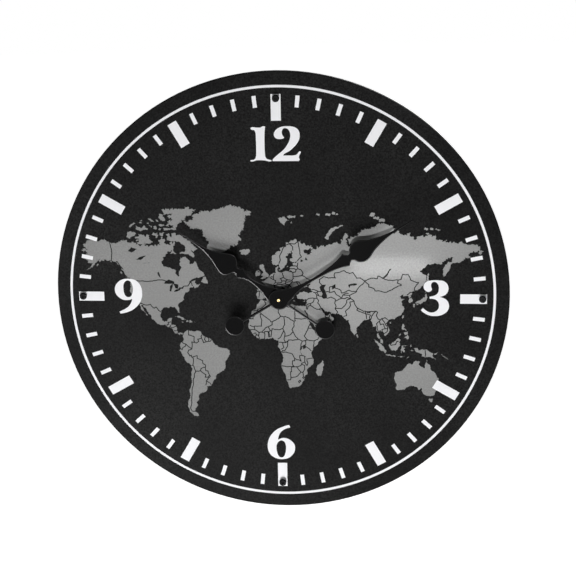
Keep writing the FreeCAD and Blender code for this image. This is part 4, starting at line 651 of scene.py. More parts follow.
# Borders as longitude and latitude in degrees, each one an open line
borderLines = [
    [(-141, 69.6), (-141, 60.3), (-137.5, 58.9), (-135.4, 59.8), (-131.8, 56.6), (-130, 55.3)],
    [(-122.8, 49), (-95.2, 49), (-92, 48.3), (-89.6, 48)], [(-84.6, 46.5), (-83.4, 46)],
    [(-79, 43.1), (-76.6, 44), (-74.8, 45), (-71.4, 45.1), (-70.2, 46.4), (-69.2, 47.4),
     (-67.8, 47.1), (-67.3, 45.1)],
    [(-117.1, 32.5), (-114.8, 32.6), (-111, 31.3), (-108.2, 31.4), (-106.5, 31.8), (-104.5, 29.6),
     (-103.1, 28.9), (-101.4, 29.8), (-99.5, 27.5), (-97.3, 25.9)],
    [(-92.2, 14.6), (-91.8, 16), (-90.4, 16.2), (-91, 17.8), (-89.1, 17.9), (-88.3, 18.5)],
    [(-90.1, 13.8), (-89.3, 14.4), (-88.3, 15.7)],
    [(-89.3, 14.4), (-87.8, 13.4), (-85.8, 13.9), (-83.3, 15)], [(-85.7, 11.1), (-83.7, 10.9)],
    [(-82.9, 8.3), (-82.6, 9.4)], [(-77.9, 7.4), (-77.4, 8.5)],
    [(-71.6, 12), (-72.5, 10.8), (-72.4, 7.5), (-70.1, 7), (-67.5, 6.2), (-67.8, 2.8), (-66.9, 1.2),
     (-69.8, 1.7), (-69.4, -0.6), (-70, -4.2)],
    [(-66.9, 1.2), (-65.5, 0.8), (-63.4, 2.2), (-64.2, 4.1), (-60.7, 5.2), (-61.2, 6.6),
     (-59.9, 8.2)],
    [(-60.7, 5.2), (-59.9, 3.6), (-59, 1.3), (-56.5, 1.9), (-54.5, 2.3), (-52.6, 2.5), (-51.7, 4)],
    [(-57.2, 5.9), (-58, 4), (-56.5, 1.9)], [(-54, 5.4), (-54.5, 2.3)],
    [(-78.8, 1.4), (-77.4, 0.4), (-75.3, -0.1), (-75.6, -1.6), (-78.4, -3.4), (-79, -5),
     (-80.3, -3.9)],
    [(-75.3, -0.1), (-72.9, -2.4), (-70, -4.2), (-72.9, -5.2), (-73.9, -7.4), (-72.2, -10),
     (-70.6, -9.5), (-70.6, -11), (-69.5, -11)],
    [(-69.5, -11), (-68.8, -12.6), (-69, -15), (-69.2, -16.4), (-69.5, -17.5), (-70.4, -18.3)],
    [(-69.5, -11), (-65.4, -9.7), (-65.3, -12), (-60.5, -13.8), (-60.2, -16.3), (-57.8, -17.5),
     (-58.2, -19.8)],
    [(-69.5, -17.5), (-68.3, -20.5), (-67.2, -22.8), (-64.3, -22.6), (-62.7, -22.2), (-62.2, -20.5),
     (-59.1, -19.3), (-58.2, -19.8), (-57.9, -22.1), (-55.8, -22.3), (-54.6, -25.6)],
    [(-62.7, -22.2), (-57.8, -25.2), (-58.6, -27.3), (-55.9, -27.4), (-54.6, -25.6), (-53.7, -26.4),
     (-55.8, -28.2), (-57.6, -30.2), (-53.8, -32.2), (-53.4, -33.4)],
    [(-57.6, -30.2), (-58.2, -33.7)],
    [(-67.2, -22.8), (-68.5, -25), (-69.8, -30), (-70, -34.2), (-71.2, -38), (-71.8, -44),
     (-71.9, -47), (-73.2, -50), (-72, -52), (-68.8, -52.3)],
    [(11.4, 59), (12.6, 61), (12.2, 63.4), (14.5, 66), (18, 68.5), (20.5, 69.1), (23.8, 67.6),
     (24.1, 65.8)],
    [(20.5, 69.1), (25.8, 69), (28.4, 70), (28.9, 69.1), (29.6, 66.8), (30, 64.2), (31.4, 62.6),
     (27.8, 60.5)],
    [(28.2, 59.6), (27.4, 57.5), (28.2, 56.2), (30.9, 55.6), (32.7, 53.4), (31.6, 52.2),
     (34.3, 51.4), (36, 50.3), (40, 49.6), (38.4, 47.3)], [(24.3, 57.9), (27.4, 57.5)],
    [(21.1, 56.3), (24.6, 56.3), (26.6, 55.7), (28.2, 56.2)],
    [(26.6, 55.7), (25.6, 54.2), (23.6, 54), (23.6, 51.6), (31.6, 52.2)],
    [(21.3, 55.2), (22.8, 54.4), (19.8, 54.4)], [(22.8, 54.4), (23.6, 54)],
    [(23.6, 51.6), (24, 50.4), (22.6, 49.1), (18.8, 49.5), (15, 51), (14.3, 53.8)],
    [(15, 51), (12.2, 50.3), (13.8, 48.7), (17, 48.7), (18.8, 49.5)],
    [(13.8, 48.7), (13, 47.6), (9.6, 47.5), (7.6, 47.6), (8.1, 49), (6.2, 49.5), (6.1, 51.2),
     (7.1, 53.2)], [(6.2, 49.5), (2.7, 51)], [(6.1, 51.2), (3.6, 51.4)], [(-1.8, 43.3), (3, 42.5)],
    [(-8.8, 41.9), (-6.3, 41.8), (-7.1, 38.6), (-7.4, 37.3)],
    [(7.6, 47.6), (6.1, 46.2), (6.9, 46), (7.4, 43.8)], [(6.9, 46), (10.4, 46.6), (9.6, 47.5)],
    [(10.4, 46.6), (13.7, 46.5), (13.5, 45.6)],
    [(13.7, 46.5), (16.2, 46.9), (17.2, 48), (17, 48.7)],
    [(17.2, 48), (20.4, 48.3), (22.9, 48), (22.6, 49.1)], [(22.9, 48), (20.2, 46.2), (16.2, 46.9)],
    [(22.9, 48), (26.6, 48.3), (28.2, 46.4), (29.6, 45.4)],
    [(26.6, 48.3), (29.1, 48), (30.2, 46.5)], [(20.2, 46.2), (22.6, 44.4), (28.5, 43.8)],
    [(22.6, 44.4), (22.4, 42.3), (23, 41.3), (26.3, 41.7), (28, 42)],
    [(20, 39.8), (21, 40.8), (23, 41.3)], [(19.5, 41.9), (20.4, 42.2), (21, 40.8)],
    [(20.4, 42.2), (22.4, 42.3)], [(16, 45.2), (19, 44.9), (20.2, 46.2)],
    [(19, 44.9), (18.7, 42.6)], [(26.3, 41.7), (26.1, 40.8)],
    [(36, 36.1), (36.7, 36.8), (42.3, 37.2), (44.8, 37.2), (44.5, 39.7), (43.5, 41.1),
     (41.5, 41.5)], [(42.3, 37.2), (41.2, 34.4), (38.8, 33.4), (35.8, 32.7)],
    [(35.8, 32.7), (35.6, 31.2), (35, 29.6)],
    [(38.8, 33.4), (39.2, 32.1), (44.7, 29.2), (46.5, 29.1), (48.2, 28.6)],
    [(46.5, 29.1), (47.8, 30)], [(39.2, 32.1), (37, 31.5), (36, 29.2), (35, 29.4)],
    [(44.8, 37.2), (46.2, 35.7), (45.5, 33.9), (47.8, 31), (48.5, 30)],
    [(40, 43.3), (44.5, 42.7), (46.5, 41.9), (48.4, 41.8)], [(43.5, 41.1), (46.5, 41.9)],
    [(45, 41.2), (46.5, 39), (48.8, 38.5)], [(44.5, 39.7), (46.5, 39)],
    [(42.8, 16.4), (44, 17.4), (47.5, 17.1), (52, 19), (53.1, 16.8)],
    [(52, 19), (55, 20), (55.7, 22), (55.2, 22.7)],
    [(51.6, 24), (52.6, 22.9), (55.2, 22.7), (56.1, 24.8)],
    [(49.2, 46.4), (47, 48), (47.2, 49.9), (50.8, 51.6), (55, 50.8), (58.6, 51), (61.4, 50.8),
     (60.2, 52.4), (61, 53.9), (65.2, 54.3), (69, 55.3), (71.2, 54.2), (74, 53.6), (76.8, 54.2),
     (80, 50.8), (83.4, 51), (87.3, 49.1)],
    [(87.3, 49.1), (85.6, 47.1), (82.4, 45.3), (80.2, 43), (80.2, 42.1), (73.5, 43), (71, 42.2),
     (69.1, 41.4), (66.7, 41.1), (66.1, 42.9), (64.6, 43.6), (61.2, 44.3)],
    [(58.6, 45.5), (56, 45), (56, 41.4), (54.2, 42), (52.8, 41.8)],
    [(56, 41.4), (60.1, 42.2), (62, 40), (66.5, 37.4), (61.1, 35.3), (61.2, 36.6), (57.3, 38.2),
     (54, 37.3)], [(66.5, 37.4), (67.8, 39.6), (70.6, 41), (73, 40.8)],
    [(67.8, 39.6), (69.4, 39.6), (73.7, 39.5), (76, 40.4), (80.2, 42.1)],
    [(66.5, 37.4), (69.5, 37.1), (71.5, 38), (74.9, 37.3), (73.7, 39.5)],
    [(61.1, 35.3), (60.6, 33.7), (61.8, 31.2), (60.9, 29.9), (63.2, 27.2), (61.6, 25.4)],
    [(60.9, 29.9), (66.3, 29.8), (69.3, 31.9), (71.2, 34.2), (71.6, 36.4), (74.9, 37.3),
     (77.8, 35.5)],
    [(68.3, 23.8), (71, 24.4), (70, 27.8), (73, 29.9), (74.6, 32), (74, 34.6), (77.8, 35.5),
     (78.9, 32.5), (81, 30.2), (86, 28), (88.1, 27.9), (88.1, 26.4), (80.2, 28.8), (81, 30.2)],
    [(88.1, 27.9), (91.7, 27.8), (97.3, 28.2), (98.7, 27.4), (97.6, 24.4), (99.2, 22.1),
     (101.2, 21.5)], [(88.9, 27.2), (92.1, 26.8), (91.7, 27.8)],
    [(88.9, 22), (88.7, 24.3), (88.2, 25.8), (89.8, 25.9), (92.4, 25.1), (91.4, 23.6),
     (92.5, 21.3)], [(92.5, 21.3), (93.3, 24), (95.2, 26.6), (97.3, 28.2)],
    [(98.8, 10.4), (99.4, 12), (98.2, 15), (97.6, 18.4), (100.1, 20.4), (101.2, 21.5)],
    [(100.1, 20.4), (101.2, 17.6), (103.9, 18.3), (105.6, 14.4), (102.4, 13.6), (102.8, 12)],
    [(101.2, 21.5), (102.1, 22.4), (104.9, 19.3), (107.4, 15.8), (107.5, 14.4), (107.3, 12.3),
     (104.8, 10.5)], [(105.6, 14.4), (107.5, 14.4)], [(102.1, 22.4), (105.3, 23.3), (107.8, 21.7)],
    [(100.4, 6.4), (102, 6)],
    [(87.3, 49.1), (89.7, 49.8), (92.4, 50.7), (98.3, 50.5), (98.9, 52.1), (102.3, 51.3),
     (107, 49.8), (113, 49.6), (116.7, 49.8), (119.3, 50.2), (120.8, 53.3), (125.6, 53),
     (127.6, 49.8), (130.8, 48.8), (134.6, 48.3), (131.2, 44.9), (130.8, 42.8)],
    [(87.3, 49.1), (91, 46.6), (90.9, 45.2), (95.4, 44.2), (96.4, 42.7), (101.6, 42.5), (105, 41.6),
     (111.8, 43.7), (113.6, 44.7), (119.8, 46.6), (116, 47.8), (116.7, 49.8)],
    [(124.4, 39.9), (126.9, 41.7), (130.6, 42.4)], [(126.7, 37.8), (128.2, 38.5)],
    [(-2.2, 34.9), (-1.2, 32.4), (-5.5, 29.6), (-8.7, 28.7), (-8.7, 26), (-12, 26), (-12, 23.4),
     (-13, 23), (-13, 21.3), (-16.8, 21.3)], [(-12.6, 27.7), (-8.7, 27.7)],
    [(-8.7, 27.2), (-4.8, 25), (-6.6, 24.9), (-5.5, 15.5), (-11.8, 15.5), (-12.2, 14.8)],
    [(-4.8, 25), (1.2, 21.1), (3.2, 19), (4.3, 19.2), (12, 23.5), (14.9, 23), (16, 23.4),
     (24, 19.5)],
    [(8.6, 36.7), (8.4, 35.2), (7.6, 33.8), (9.1, 32.1), (9.6, 30.3), (9.9, 26.5), (12, 23.5)],
    [(9.6, 30.3), (10.3, 31.6), (11.4, 32.9)],
    [(25, 31.4), (25, 20), (24, 20), (23.9, 15.7), (22, 13), (22.9, 11)], [(25, 22), (36.7, 22)],
    [(15, 23), (15.5, 16.9), (13.6, 13.7), (9, 12.8), (4.1, 13.5), (3.6, 11.7), (2.7, 6.5)],
    [(4.3, 19.2), (4.2, 16.8), (0.2, 15), (-2, 14.2), (-5.5, 10.6), (-2.8, 9.8), (-2.7, 9.6),
     (-3.1, 5.2)], [(0.2, 15), (2.2, 11.9), (3.6, 11.7)],
    [(-2.8, 9.8), (-2.8, 11), (0.9, 11), (2.2, 11.9)], [(0.9, 11), (1.6, 6.4)], [(0, 11), (1, 6.3)],
    [(-7.6, 4.6), (-8.4, 7.6), (-7.9, 10.2), (-5.5, 10.6)],
    [(-7.9, 10.2), (-11.4, 12.4), (-12.2, 14.8), (-16.3, 16.2)],
    [(-11.4, 12.4), (-13.7, 12.6), (-16.6, 12.4)],
    [(-13.1, 9.1), (-11, 9.9), (-10.3, 8.5), (-8.4, 7.6)], [(-10.3, 8.5), (-11.4, 7)],
    [(13.6, 13.7), (14.6, 12), (13.3, 10), (11.5, 6.6), (8.8, 4.9)],
    [(14.6, 12), (15.6, 9.9), (15.2, 7.4), (14.6, 5), (16.2, 2.2), (13.2, 2.2), (9.9, 2.3)],
    [(15.2, 7.4), (18.6, 8), (22.9, 11), (24.2, 8.7), (27.4, 5.1), (22.4, 4.1), (18.6, 4.3),
     (16.2, 2.2)],
    [(27.4, 5.1), (30.9, 3.5), (34, 4.2), (35.9, 4.6), (39.8, 3.9), (41.9, 3.9), (45, 5), (48, 8),
     (44, 9), (42.9, 11)],
    [(35.9, 4.6), (33, 7.8), (34.1, 9.5), (36, 12.7), (36.4, 14.3), (38.4, 17.8)],
    [(36.4, 14.3), (40, 14.5), (42.3, 12.7), (42.9, 11), (43.4, 11.4)],
    [(41.9, 3.9), (41, -0.9), (41.5, -1.6)], [(34, 4.2), (34, 0.4)],
    [(34, -1), (37.6, -3), (39.1, -4.6)], [(30.9, 3.5), (29.6, -1.4), (29.2, -3.3), (29.3, -3.8)],
    [(29.6, -1.4), (30.8, -1), (31.8, -1)], [(30.8, -1), (30.5, -2.4), (29.4, -4.2)],
    [(30.8, -8.3), (33, -9.4), (33.9, -9.6)], [(34.8, -11.5), (40.2, -10.7)],
    [(33, -9.4), (33.2, -14), (30.2, -14.9), (30.4, -15.9), (32.9, -16.7), (32.9, -19.8),
     (31.3, -22.4), (32, -25.7), (32.7, -26.8)],
    [(33.2, -14), (35.2, -16.8), (35.9, -14.8), (34.9, -12.2)],
    [(30.4, -15.9), (27, -17.9), (25.3, -17.8)],
    [(25.3, -17.8), (27.7, -20.5), (29.4, -22.2), (31.3, -22.4)],
    [(32, -25.8), (30.9, -26.5), (32, -27.3)],
    [(27, -29.6), (28.6, -28.6), (29.3, -29.5), (27.8, -30.6), (27, -29.6)],
    [(29.4, -22.2), (25.7, -25.7), (20.7, -26.9), (20, -24.8), (20, -28.4), (16.8, -28.6)],
    [(20, -24.8), (20, -22), (21, -22), (21, -18.3), (23.3, -18), (25.3, -17.8)],
    [(12, -17.3), (13.9, -17.4), (23.4, -17.6), (22, -16.2), (22, -13), (24, -13), (24, -10.9)],
    [(24, -10.9), (25.5, -11.9), (28.4, -12.4), (29.8, -13.4), (28.6, -10.2), (28.7, -8.5),
     (30.6, -8.3)], [(24, -10.9), (21.8, -7.3), (16.6, -5.9), (12.6, -6)],
    [(18.6, 4.3), (17.7, -0.6), (15.3, -4.4), (13, -4.6), (12.5, -5.8)],
    [(13.2, 2.2), (14.4, -1.8), (11.9, -3.6)],
    [(109.9, 2), (110.6, 0.9), (114.6, 1.5), (115.9, 4.3), (117.4, 4.1)],
    [(141, -2.8), (141, -8.9)], [(-71.7, 19.6), (-71.7, 18.1)],
    [(-7.4, 55), (-7.6, 54.2), (-6.2, 54.1)],
]
# Print on the dial: thin closed films of ink, drawn about the hand axis in millimetres.
# A rough pair says how far the middle of a run may move aside: a share of the run's length,
# and the most in millimetres
printLook = {"silverHeight": 0.03, "borderHeight": 0.045, "whiteHeight": 0.06,
             "numeralLift": 0.01, "borderWidth": 0.68, "weld": 1e-7, "curveSteps": 7}
mapLook = {"east": 0.8372, "left": -9.28, "up": 68.3, "down": -37.56,
           "southRough": (0.22, 0.5), "northRough": (0.6, 1.3), "northFrom": 24.0,
           "northFade": 12.0, "isletRough": (0.3, 0.5), "isletReach": 24.0, "coastStep": 0.6,
           "coastRounds": 5, "borderRough": (0.08, 5.0), "leastRun": 0.001,
           "lakeGrow": 1.45, "lakeSeeds": 40, "mitreLeast": 0.6, "turnLeast": 0.1,
           "fillReach": 1e-4}


def mapPoint(place):
    # Miller's cylindrical projection
    rise = math.log(math.tan(math.radians(45 + 0.4 * place[1])))
    return (mapLook["left"] + mapLook["east"] * place[0], mapLook["down"] + mapLook["up"] * rise)


def coastRough(height):
    # The printed coasts of the north are more jagged than those of the south
    north = min(1.0, max(0.0, (height - mapLook["northFrom"]) / mapLook["northFade"]))
    return [south + (far - south) * north
            for south, far in zip(mapLook["southRough"], mapLook["northRough"])]


def roughLine(points, closed, rough, seed):
    # Breaks long runs of a coast or border with small seeded steps to the side
    draw = random.Random(seed)
    line = list(points)
    for _ in range(mapLook["coastRounds"]):
        finer = []
        count = len(line) if closed else len(line) - 1
        for index in range(count):
            start, end = line[index], line[(index + 1) % len(line)]
            length = math.hypot(end[0] - start[0], end[1] - start[1])
            finer.append(start)
            share, most = rough if rough else coastRough((start[1] + end[1]) / 2)
            push = draw.uniform(-1.0, 1.0) * min(share, most / max(length, mapLook["leastRun"]))
            if length > mapLook["coastStep"]:
                finer.append(((start[0] + end[0]) / 2 - (end[1] - start[1]) * push,
                              (start[1] + end[1]) / 2 + (end[0] - start[0]) * push))
        if not closed:
            finer.append(line[-1])
        line = finer
    return line


def curveMesh(loops, height, smooth=False):
    # Fills flat closed loops, holes included, and gives them a thickness
    drawing = bpy.data.curves.new("drawing", "CURVE")
    drawing.dimensions = "2D"
    drawing.fill_mode = "BOTH"
    drawing.extrude = height / 2 * mm
    drawing.resolution_u = printLook["curveSteps"]
    for points in loops:
        spline = drawing.splines.new("BEZIER" if smooth else "POLY")
        knots = spline.bezier_points if smooth else spline.points
        knots.add(len(points) - 1)
        for knot, point in zip(knots, points):
            if smooth:
                knot.co = (point[0] * mm, point[1] * mm, 0)
                kind = "VECTOR" if len(point) > 2 else "AUTO"
                knot.handle_left_type = knot.handle_right_type = kind
            else:
                knot.co = (point[0] * mm, point[1] * mm, 0, 1)
        spline.use_cyclic_u = True
    holder = newObject("drawing", drawing)
    ready = holder.evaluated_get(bpy.context.evaluated_depsgraph_get())
    mesh = bpy.data.meshes.new_from_object(ready)
    bpy.data.objects.remove(holder)
    lift = Matrix.Translation((handAxis[0], dialFace - height / 2 * mm, handAxis[1]))
    mesh.transform(lift @ Matrix.Rotation(math.pi / 2, 4, "X"))
    return mesh


def insideLoop(x, y, loop):
    # Counts how often a line to the right meets the loop
    inside = False
    for a, b in zip(loop, loop[1:] + loop[:1]):
        if (a[1] > y) != (b[1] > y) and x < a[0] + (b[0] - a[0]) * (y - a[1]) / (b[1] - a[1]):
            inside = not inside
    return inside


def landMesh(outline, lakes, height):
    # Fills an outline without its lakes, also where roughened lines cross
    places, edges = [], []
    for line in [outline] + lakes:
        first, count = len(places), len(line)
        edges += [(first + index, first + (index + 1) % count) for index in range(count)]
        places += [Vector(place) for place in line]
    # Output 2 keeps only what lies inside the outline
    made = geometry.delaunay_2d_cdt(places, edges, [], 2, mapLook["fillReach"])
    flat = bmesh.new()
    corners = [flat.verts.new(onDial(place, height)) for place in made[0]]
    for face in made[2]:
        x, y = (sum(made[0][index][axis] for index in face) / len(face) for axis in (0, 1))
        if not any(insideLoop(x, y, lake) for lake in lakes):
            flat.faces.new([corners[index] for index in face])
    loose = [corner for corner in flat.verts if not corner.link_faces]
    bmesh.ops.delete(flat, geom=loose, context="VERTS")
    grown = bmesh.ops.extrude_face_region(flat, geom=list(flat.faces), use_keep_orig=True)
    rear = [part for part in grown["geom"] if isinstance(part, bmesh.types.BMVert)]
    bmesh.ops.translate(flat, vec=(0, height * mm, 0), verts=rear)
    return meshFrom("land", flat)


def ribbonMesh(line, half, height):
    # A line of even width with mitred turns
    left, right = [], []
    for index, point in enumerate(line):
        before = Vector(line[max(index - 1, 0)])
        after = Vector(line[min(index + 1, len(line) - 1)])
        here = Vector(point)
        inward = (here - before).normalized() if index else (after - here).normalized()
        outward = (after - here).normalized() if index < len(line) - 1 else inward
        both = inward + outward
        middle = both.normalized() if both.length > mapLook["turnLeast"] else outward
        mitre = math.sqrt(max(0.0, (1 + inward.dot(outward)) / 2))
        side = Vector((-middle.y, middle.x)) * (half / max(mapLook["mitreLeast"], mitre))
        left.append(tuple(here + side))
        right.append(tuple(here - side))
    ribbon = bmesh.new()
    rings = [[ribbon.verts.new(onDial(*corner))
              for corner in ((a, height), (b, height), (b, 0.0), (a, 0.0))]
             for a, b in zip(left, right)]
    for first, second in zip(rings, rings[1:]):
        for corner in range(4):
            following = (corner + 1) % 4
            ribbon.faces.new((first[corner], first[following],
                              second[following], second[corner]))
    ribbon.faces.new(rings[0])
    ribbon.faces.new(list(reversed(rings[-1])))
    return meshFrom("ribbon", ribbon)


def printPiece(name, meshes, finish):
    # Joins the films of one kind of print into a piece on the dial
    whole = bmesh.new()
    for mesh in meshes:
        whole.from_mesh(mesh)
        bpy.data.meshes.remove(mesh)
    bmesh.ops.remove_doubles(whole, verts=whole.verts, dist=printLook["weld"])
    bmesh.ops.recalc_face_normals(whole, faces=whole.faces)
    joined = meshFrom(name, whole)
    joined.materials.append(finishes[finish])
    piece = newObject(name, joined)
    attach(piece, "clock_body")


def lakesInside(land):
    # The small lakes are printed larger than they are
    found = []
    for name, lake in lakeOutlines.items():
        middle = [sum(place[axis] for place in lake) / len(lake) for axis in (0, 1)]
        grow = 1.0 if name == "caspian" else mapLook["lakeGrow"]
        if land == ("americas" if middle[0] < 0 else "oldWorld"):
            found.append([(middle[0] + (place[0] - middle[0]) * grow,
                           middle[1] + (place[1] - middle[1]) * grow) for place in lake])
    return found


def makeMap():
    lands = []
    for seed, (name, outline) in enumerate(landOutlines.items()):
        line = [mapPoint(place) for place in outline]
        reach = max(place[0] for place in line) - min(place[0] for place in line)
        rough = None if reach > mapLook["isletReach"] else mapLook["isletRough"]
        coast = roughLine(line, True, rough, seed)
        lakes = []
        for number, lake in enumerate(lakesInside(name)):
            shore = [mapPoint(place) for place in lake]
            lakeSeed = seed * mapLook["lakeSeeds"] + number
            lakes.append(roughLine(shore, True, mapLook["borderRough"], lakeSeed))
        lands.append(landMesh(coast, lakes, printLook["silverHeight"]))
    printPiece("mapPrint", lands, "mapSilver")
    ribbons = []
    for seed, places in enumerate(borderLines):
        line = [mapPoint(place) for place in places]
        line = roughLine(line, False, mapLook["borderRough"], seed)
        ribbons.append(ribbonMesh(line, printLook["borderWidth"] / 2, printLook["borderHeight"]))
    printPiece("borderPrint", ribbons, "printBlack")


makeMap()
print("map printed")

# Ring, hour bars and minute ticks: radii, and the width of a bar or tick
scaleLook = {"ring": (160.0, 158.15), "ringSteps": 360, "hourBar": (133.9, 153.4, 7.25),
             "minuteTick": (144.3, 152.9, 2.95)}


def circleLoop(radius, steps):
    angles = [2 * math.pi * step / steps for step in range(steps)]
    return [(radius * math.cos(angle), radius * math.sin(angle)) for angle in angles]


def radialBar(minute, inner, outer, width):
    angle = math.radians(minute * 6)
    out = (math.sin(angle), math.cos(angle))
    side = (out[1] * width / 2, -out[0] * width / 2)
    return [(out[0] * reach + side[0] * sign, out[1] * reach + side[1] * sign)
            for reach, sign in ((inner, -1), (outer, -1), (outer, 1), (inner, 1))]


def makeScale():
    top = printLook["whiteHeight"]
    rings = [circleLoop(radius, scaleLook["ringSteps"]) for radius in scaleLook["ring"]]
    printPiece("ringPrint", [curveMesh(rings, top)], "printWhite")
    others = [minute for minute in range(60) if minute % 5]
    for kind, minutes in (("hourBar", range(0, 60, 5)), ("minuteTick", others)):
        marks = [curveMesh([radialBar(minute, *scaleLook[kind])], top) for minute in minutes]
        printPiece(kind + "Print", marks, "printWhite")


makeScale()

# Numerals: outlines in drawing units, a third value of 1 marks a sharp corner
numeralUnit = 0.56565
numeralOutlines = {
    "numeral12Print": [
        [(-33.3, 227.0, 1), (-32, 228.2), (-26, 228.1), (-20, 228.2), (-16.8, 229.7),
         (-14, 229.4, 1), (-15, 221.3), (-15, 192.7), (-14.8, 191.0), (-13, 187.4), (-9.2, 185.9),
         (-6.6, 184.6), (-9.2, 183.7), (-14.9, 184.9), (-20.7, 185.4), (-25.8, 185.2),
         (-32.8, 183.7), (-34.2, 184.6), (-29, 186.4), (-26.7, 190.4), (-26.4, 192.7),
         (-26.5, 219.4), (-26.7, 220.8), (-28, 224.2), (-30.9, 225.1), (-32, 225.4)],
        [(-3.1, 219.0), (-1.6, 214.9), (2.9, 212.9), (9, 213.6), (10.1, 214.8, 1), (7.7, 219.0),
         (7.4, 223.3), (9.3, 226.4), (12.5, 226.9), (15.7, 225.1), (17.3, 222.1), (18.1, 218.4),
         (17.6, 214.1), (16.3, 209.8), (13.8, 205.1), (9.9, 199.8), (4.8, 195.2), (-0.3, 191.0),
         (-4.7, 186.7), (-5.4, 185.2), (-5, 184.1, 1), (28.4, 184.1, 1), (29.7, 185.5),
         (28.8, 189.2), (30, 192.8), (31.3, 195.9), (30, 196.8), (28.1, 195.2), (26.5, 193.1),
         (24, 191.9), (13.8, 191.4), (8.4, 191.4, 1), (9.9, 193.4), (16.3, 197.1), (21.4, 201.3),
         (26.5, 206.9), (29.4, 212.3), (30.2, 217.2), (29.4, 222.6), (25.9, 226.9), (20.8, 229.0),
         (13.8, 229.5), (7.4, 229.0), (2.3, 226.9), (-1.2, 223.9)]],
    "numeral9Print": [
        [(-203.9, 24.6), (-210.3, 23.9), (-216.7, 20), (-220.7, 14.8), (-221.8, 9.2), (-220.6, 3.7),
         (-216.9, -1), (-211.5, -4.5), (-205.8, -5.2), (-201.3, -4.5), (-199.1, -3.3, 1),
         (-199.1, -5.5), (-200.7, -9.3), (-203.9, -13.8), (-209, -17.6), (-213.4, -19.8),
         (-216.8, -21.6, 1), (-215.6, -24.2, 1), (-209, -23), (-201.3, -20.2), (-194.9, -16),
         (-189.8, -10.6), (-186, -3.6), (-184.7, 5.4), (-185.7, 13), (-189.2, 19.4),
         (-195, 23.5)],
        [(-203.9, 22.4), (-207.7, 20.3), (-209.6, 16.2), (-209.9, 10.5), (-209, 4.1),
         (-206.4, -0.1), (-203.2, -1), (-200, 0.6), (-197.8, 5.4), (-197, 10.5), (-197.8, 16.2),
         (-200, 20.7)]],
    "numeral3Print": [
        [(204.6, 25.3), (209.7, 25.1), (214.8, 24.2), (219.3, 20.7), (221.4, 15.6), (220.9, 10.5),
         (218, 6), (214.2, 3.8), (210.4, 2.5, 1), (214.8, 1.2), (219.3, -1.7), (221.9, -6.1),
         (222.4, -11.2), (220.6, -16.3), (216.1, -20.5), (210.4, -23), (204, -23.7), (197.6, -23),
         (191.9, -20.5), (187.4, -17.2), (186, -15.6, 1), (188.8, -12.7, 1), (191.3, -15),
         (195.7, -17.9), (200.2, -18.8), (204.6, -17.6), (208.2, -14.4), (209.4, -10),
         (208.8, -5.5), (205.9, -1.7), (201.5, -0.1), (197.4, 0, 1), (197, 2.7, 1), (200.8, 3.5),
         (204.6, 5), (207.8, 7.9), (209, 12.4), (208.8, 16.8), (207.2, 20.7), (204, 22.9),
         (200.8, 22.3), (199, 19.4), (199.4, 15.6), (200.1, 13), (199.5, 11.4), (195.7, 9.5),
         (191.9, 11.1), (189.5, 14.9), (190, 19.4), (193.2, 23.2), (198.3, 24.8)]],
    "numeral6Print": [
        [(10.2, -181.1, 1), (11.4, -184.4, 1), (5.5, -186.4), (0.4, -189.6), (-2.8, -193.7),
         (-4.7, -198.5), (-5.7, -202.6, 1), (-4.1, -202), (-0.3, -200.4), (3.6, -200.1),
         (9.3, -201.7), (14, -205.3), (16.9, -209.8), (17.6, -214.6), (16.9, -219.3), (14, -224.4),
         (8.7, -229.1), (2.9, -231), (-2.8, -231.2), (-8.5, -230), (-14.3, -226.6), (-18.1, -221.5),
         (-19.7, -215.7), (-19.7, -208.7), (-18.4, -203), (-15.6, -197.2), (-11.1, -191.5),
         (-5.4, -187), (1, -183.8), (6.1, -181.9)],
        [(-0.6, -203.7), (2.9, -205.5), (5, -210.6), (5.2, -215.7), (4.2, -222.1), (2, -227.2),
         (-1.2, -228.8), (-4.7, -226.9), (-7, -221.5), (-7.8, -215.7), (-7, -209.3),
         (-4.4, -205.2)]],
}


def makeNumerals():
    height = printLook["whiteHeight"] + printLook["numeralLift"]
    for name, loops in numeralOutlines.items():
        scaled = [[(point[0] * numeralUnit, point[1] * numeralUnit) + tuple(point[2:])
                   for point in loop] for loop in loops]
        printPiece(name, [curveMesh(scaled, height, smooth=True)], "printWhite")


makeNumerals()
print("scale and numerals printed")

# Hands: stamped from sheet, with rounded front edges. An outline point is a share of the
# hand's length and one of the spade's half width, and the root's first is of the hub's radius
hourHandLook = {"length": 90.5, "spadeHalf": 8.6, "hubRadius": 8.2, "tailLength": 41.5,
                "holeRadius": 3.94, "degrees": 304.85, "root": (0.62, 0.75),
                "stem": [
                    (0.099, 0.57), (0.134, 0.42), (0.177, 0.295), (0.225, 0.20), (0.285, 0.155),
                    (0.33, 0.235), (0.362, 0.39), (0.388, 0.56)],
                "neck": [(0.405, 0.37), (0.425, 0.285), (0.443, 0.40)],
                "spade": [
                    (0.455, 0.62), (0.475, 0.86), (0.505, 1.00), (0.54, 0.955), (0.57, 0.82),
                    (0.608, 0.63), (0.69, 0.30), (0.775, 0.125), (0.86, 0.07), (0.93, 0.05)]}
minuteHandLook = {"length": 118.5, "spadeHalf": 8.3, "hubRadius": 7.6, "tailLength": 39.5,
                  "holeRadius": 2.64, "degrees": 58.2, "root": (0.62, 0.71),
                  "stem": [
                      (0.075, 0.55), (0.104, 0.41), (0.139, 0.28), (0.18, 0.19), (0.25, 0.125),
                      (0.32, 0.155), (0.38, 0.215), (0.43, 0.33), (0.47, 0.48), (0.500, 0.64)],
                  "neck": [(0.514, 0.40), (0.528, 0.285), (0.542, 0.40)],
                  "spade": [
                      (0.550, 0.60), (0.562, 0.80), (0.585, 0.96), (0.610, 1.00), (0.638, 0.89),
                      (0.668, 0.665), (0.703, 0.47), (0.771, 0.225), (0.834, 0.105),
                      (0.90, 0.06)]}
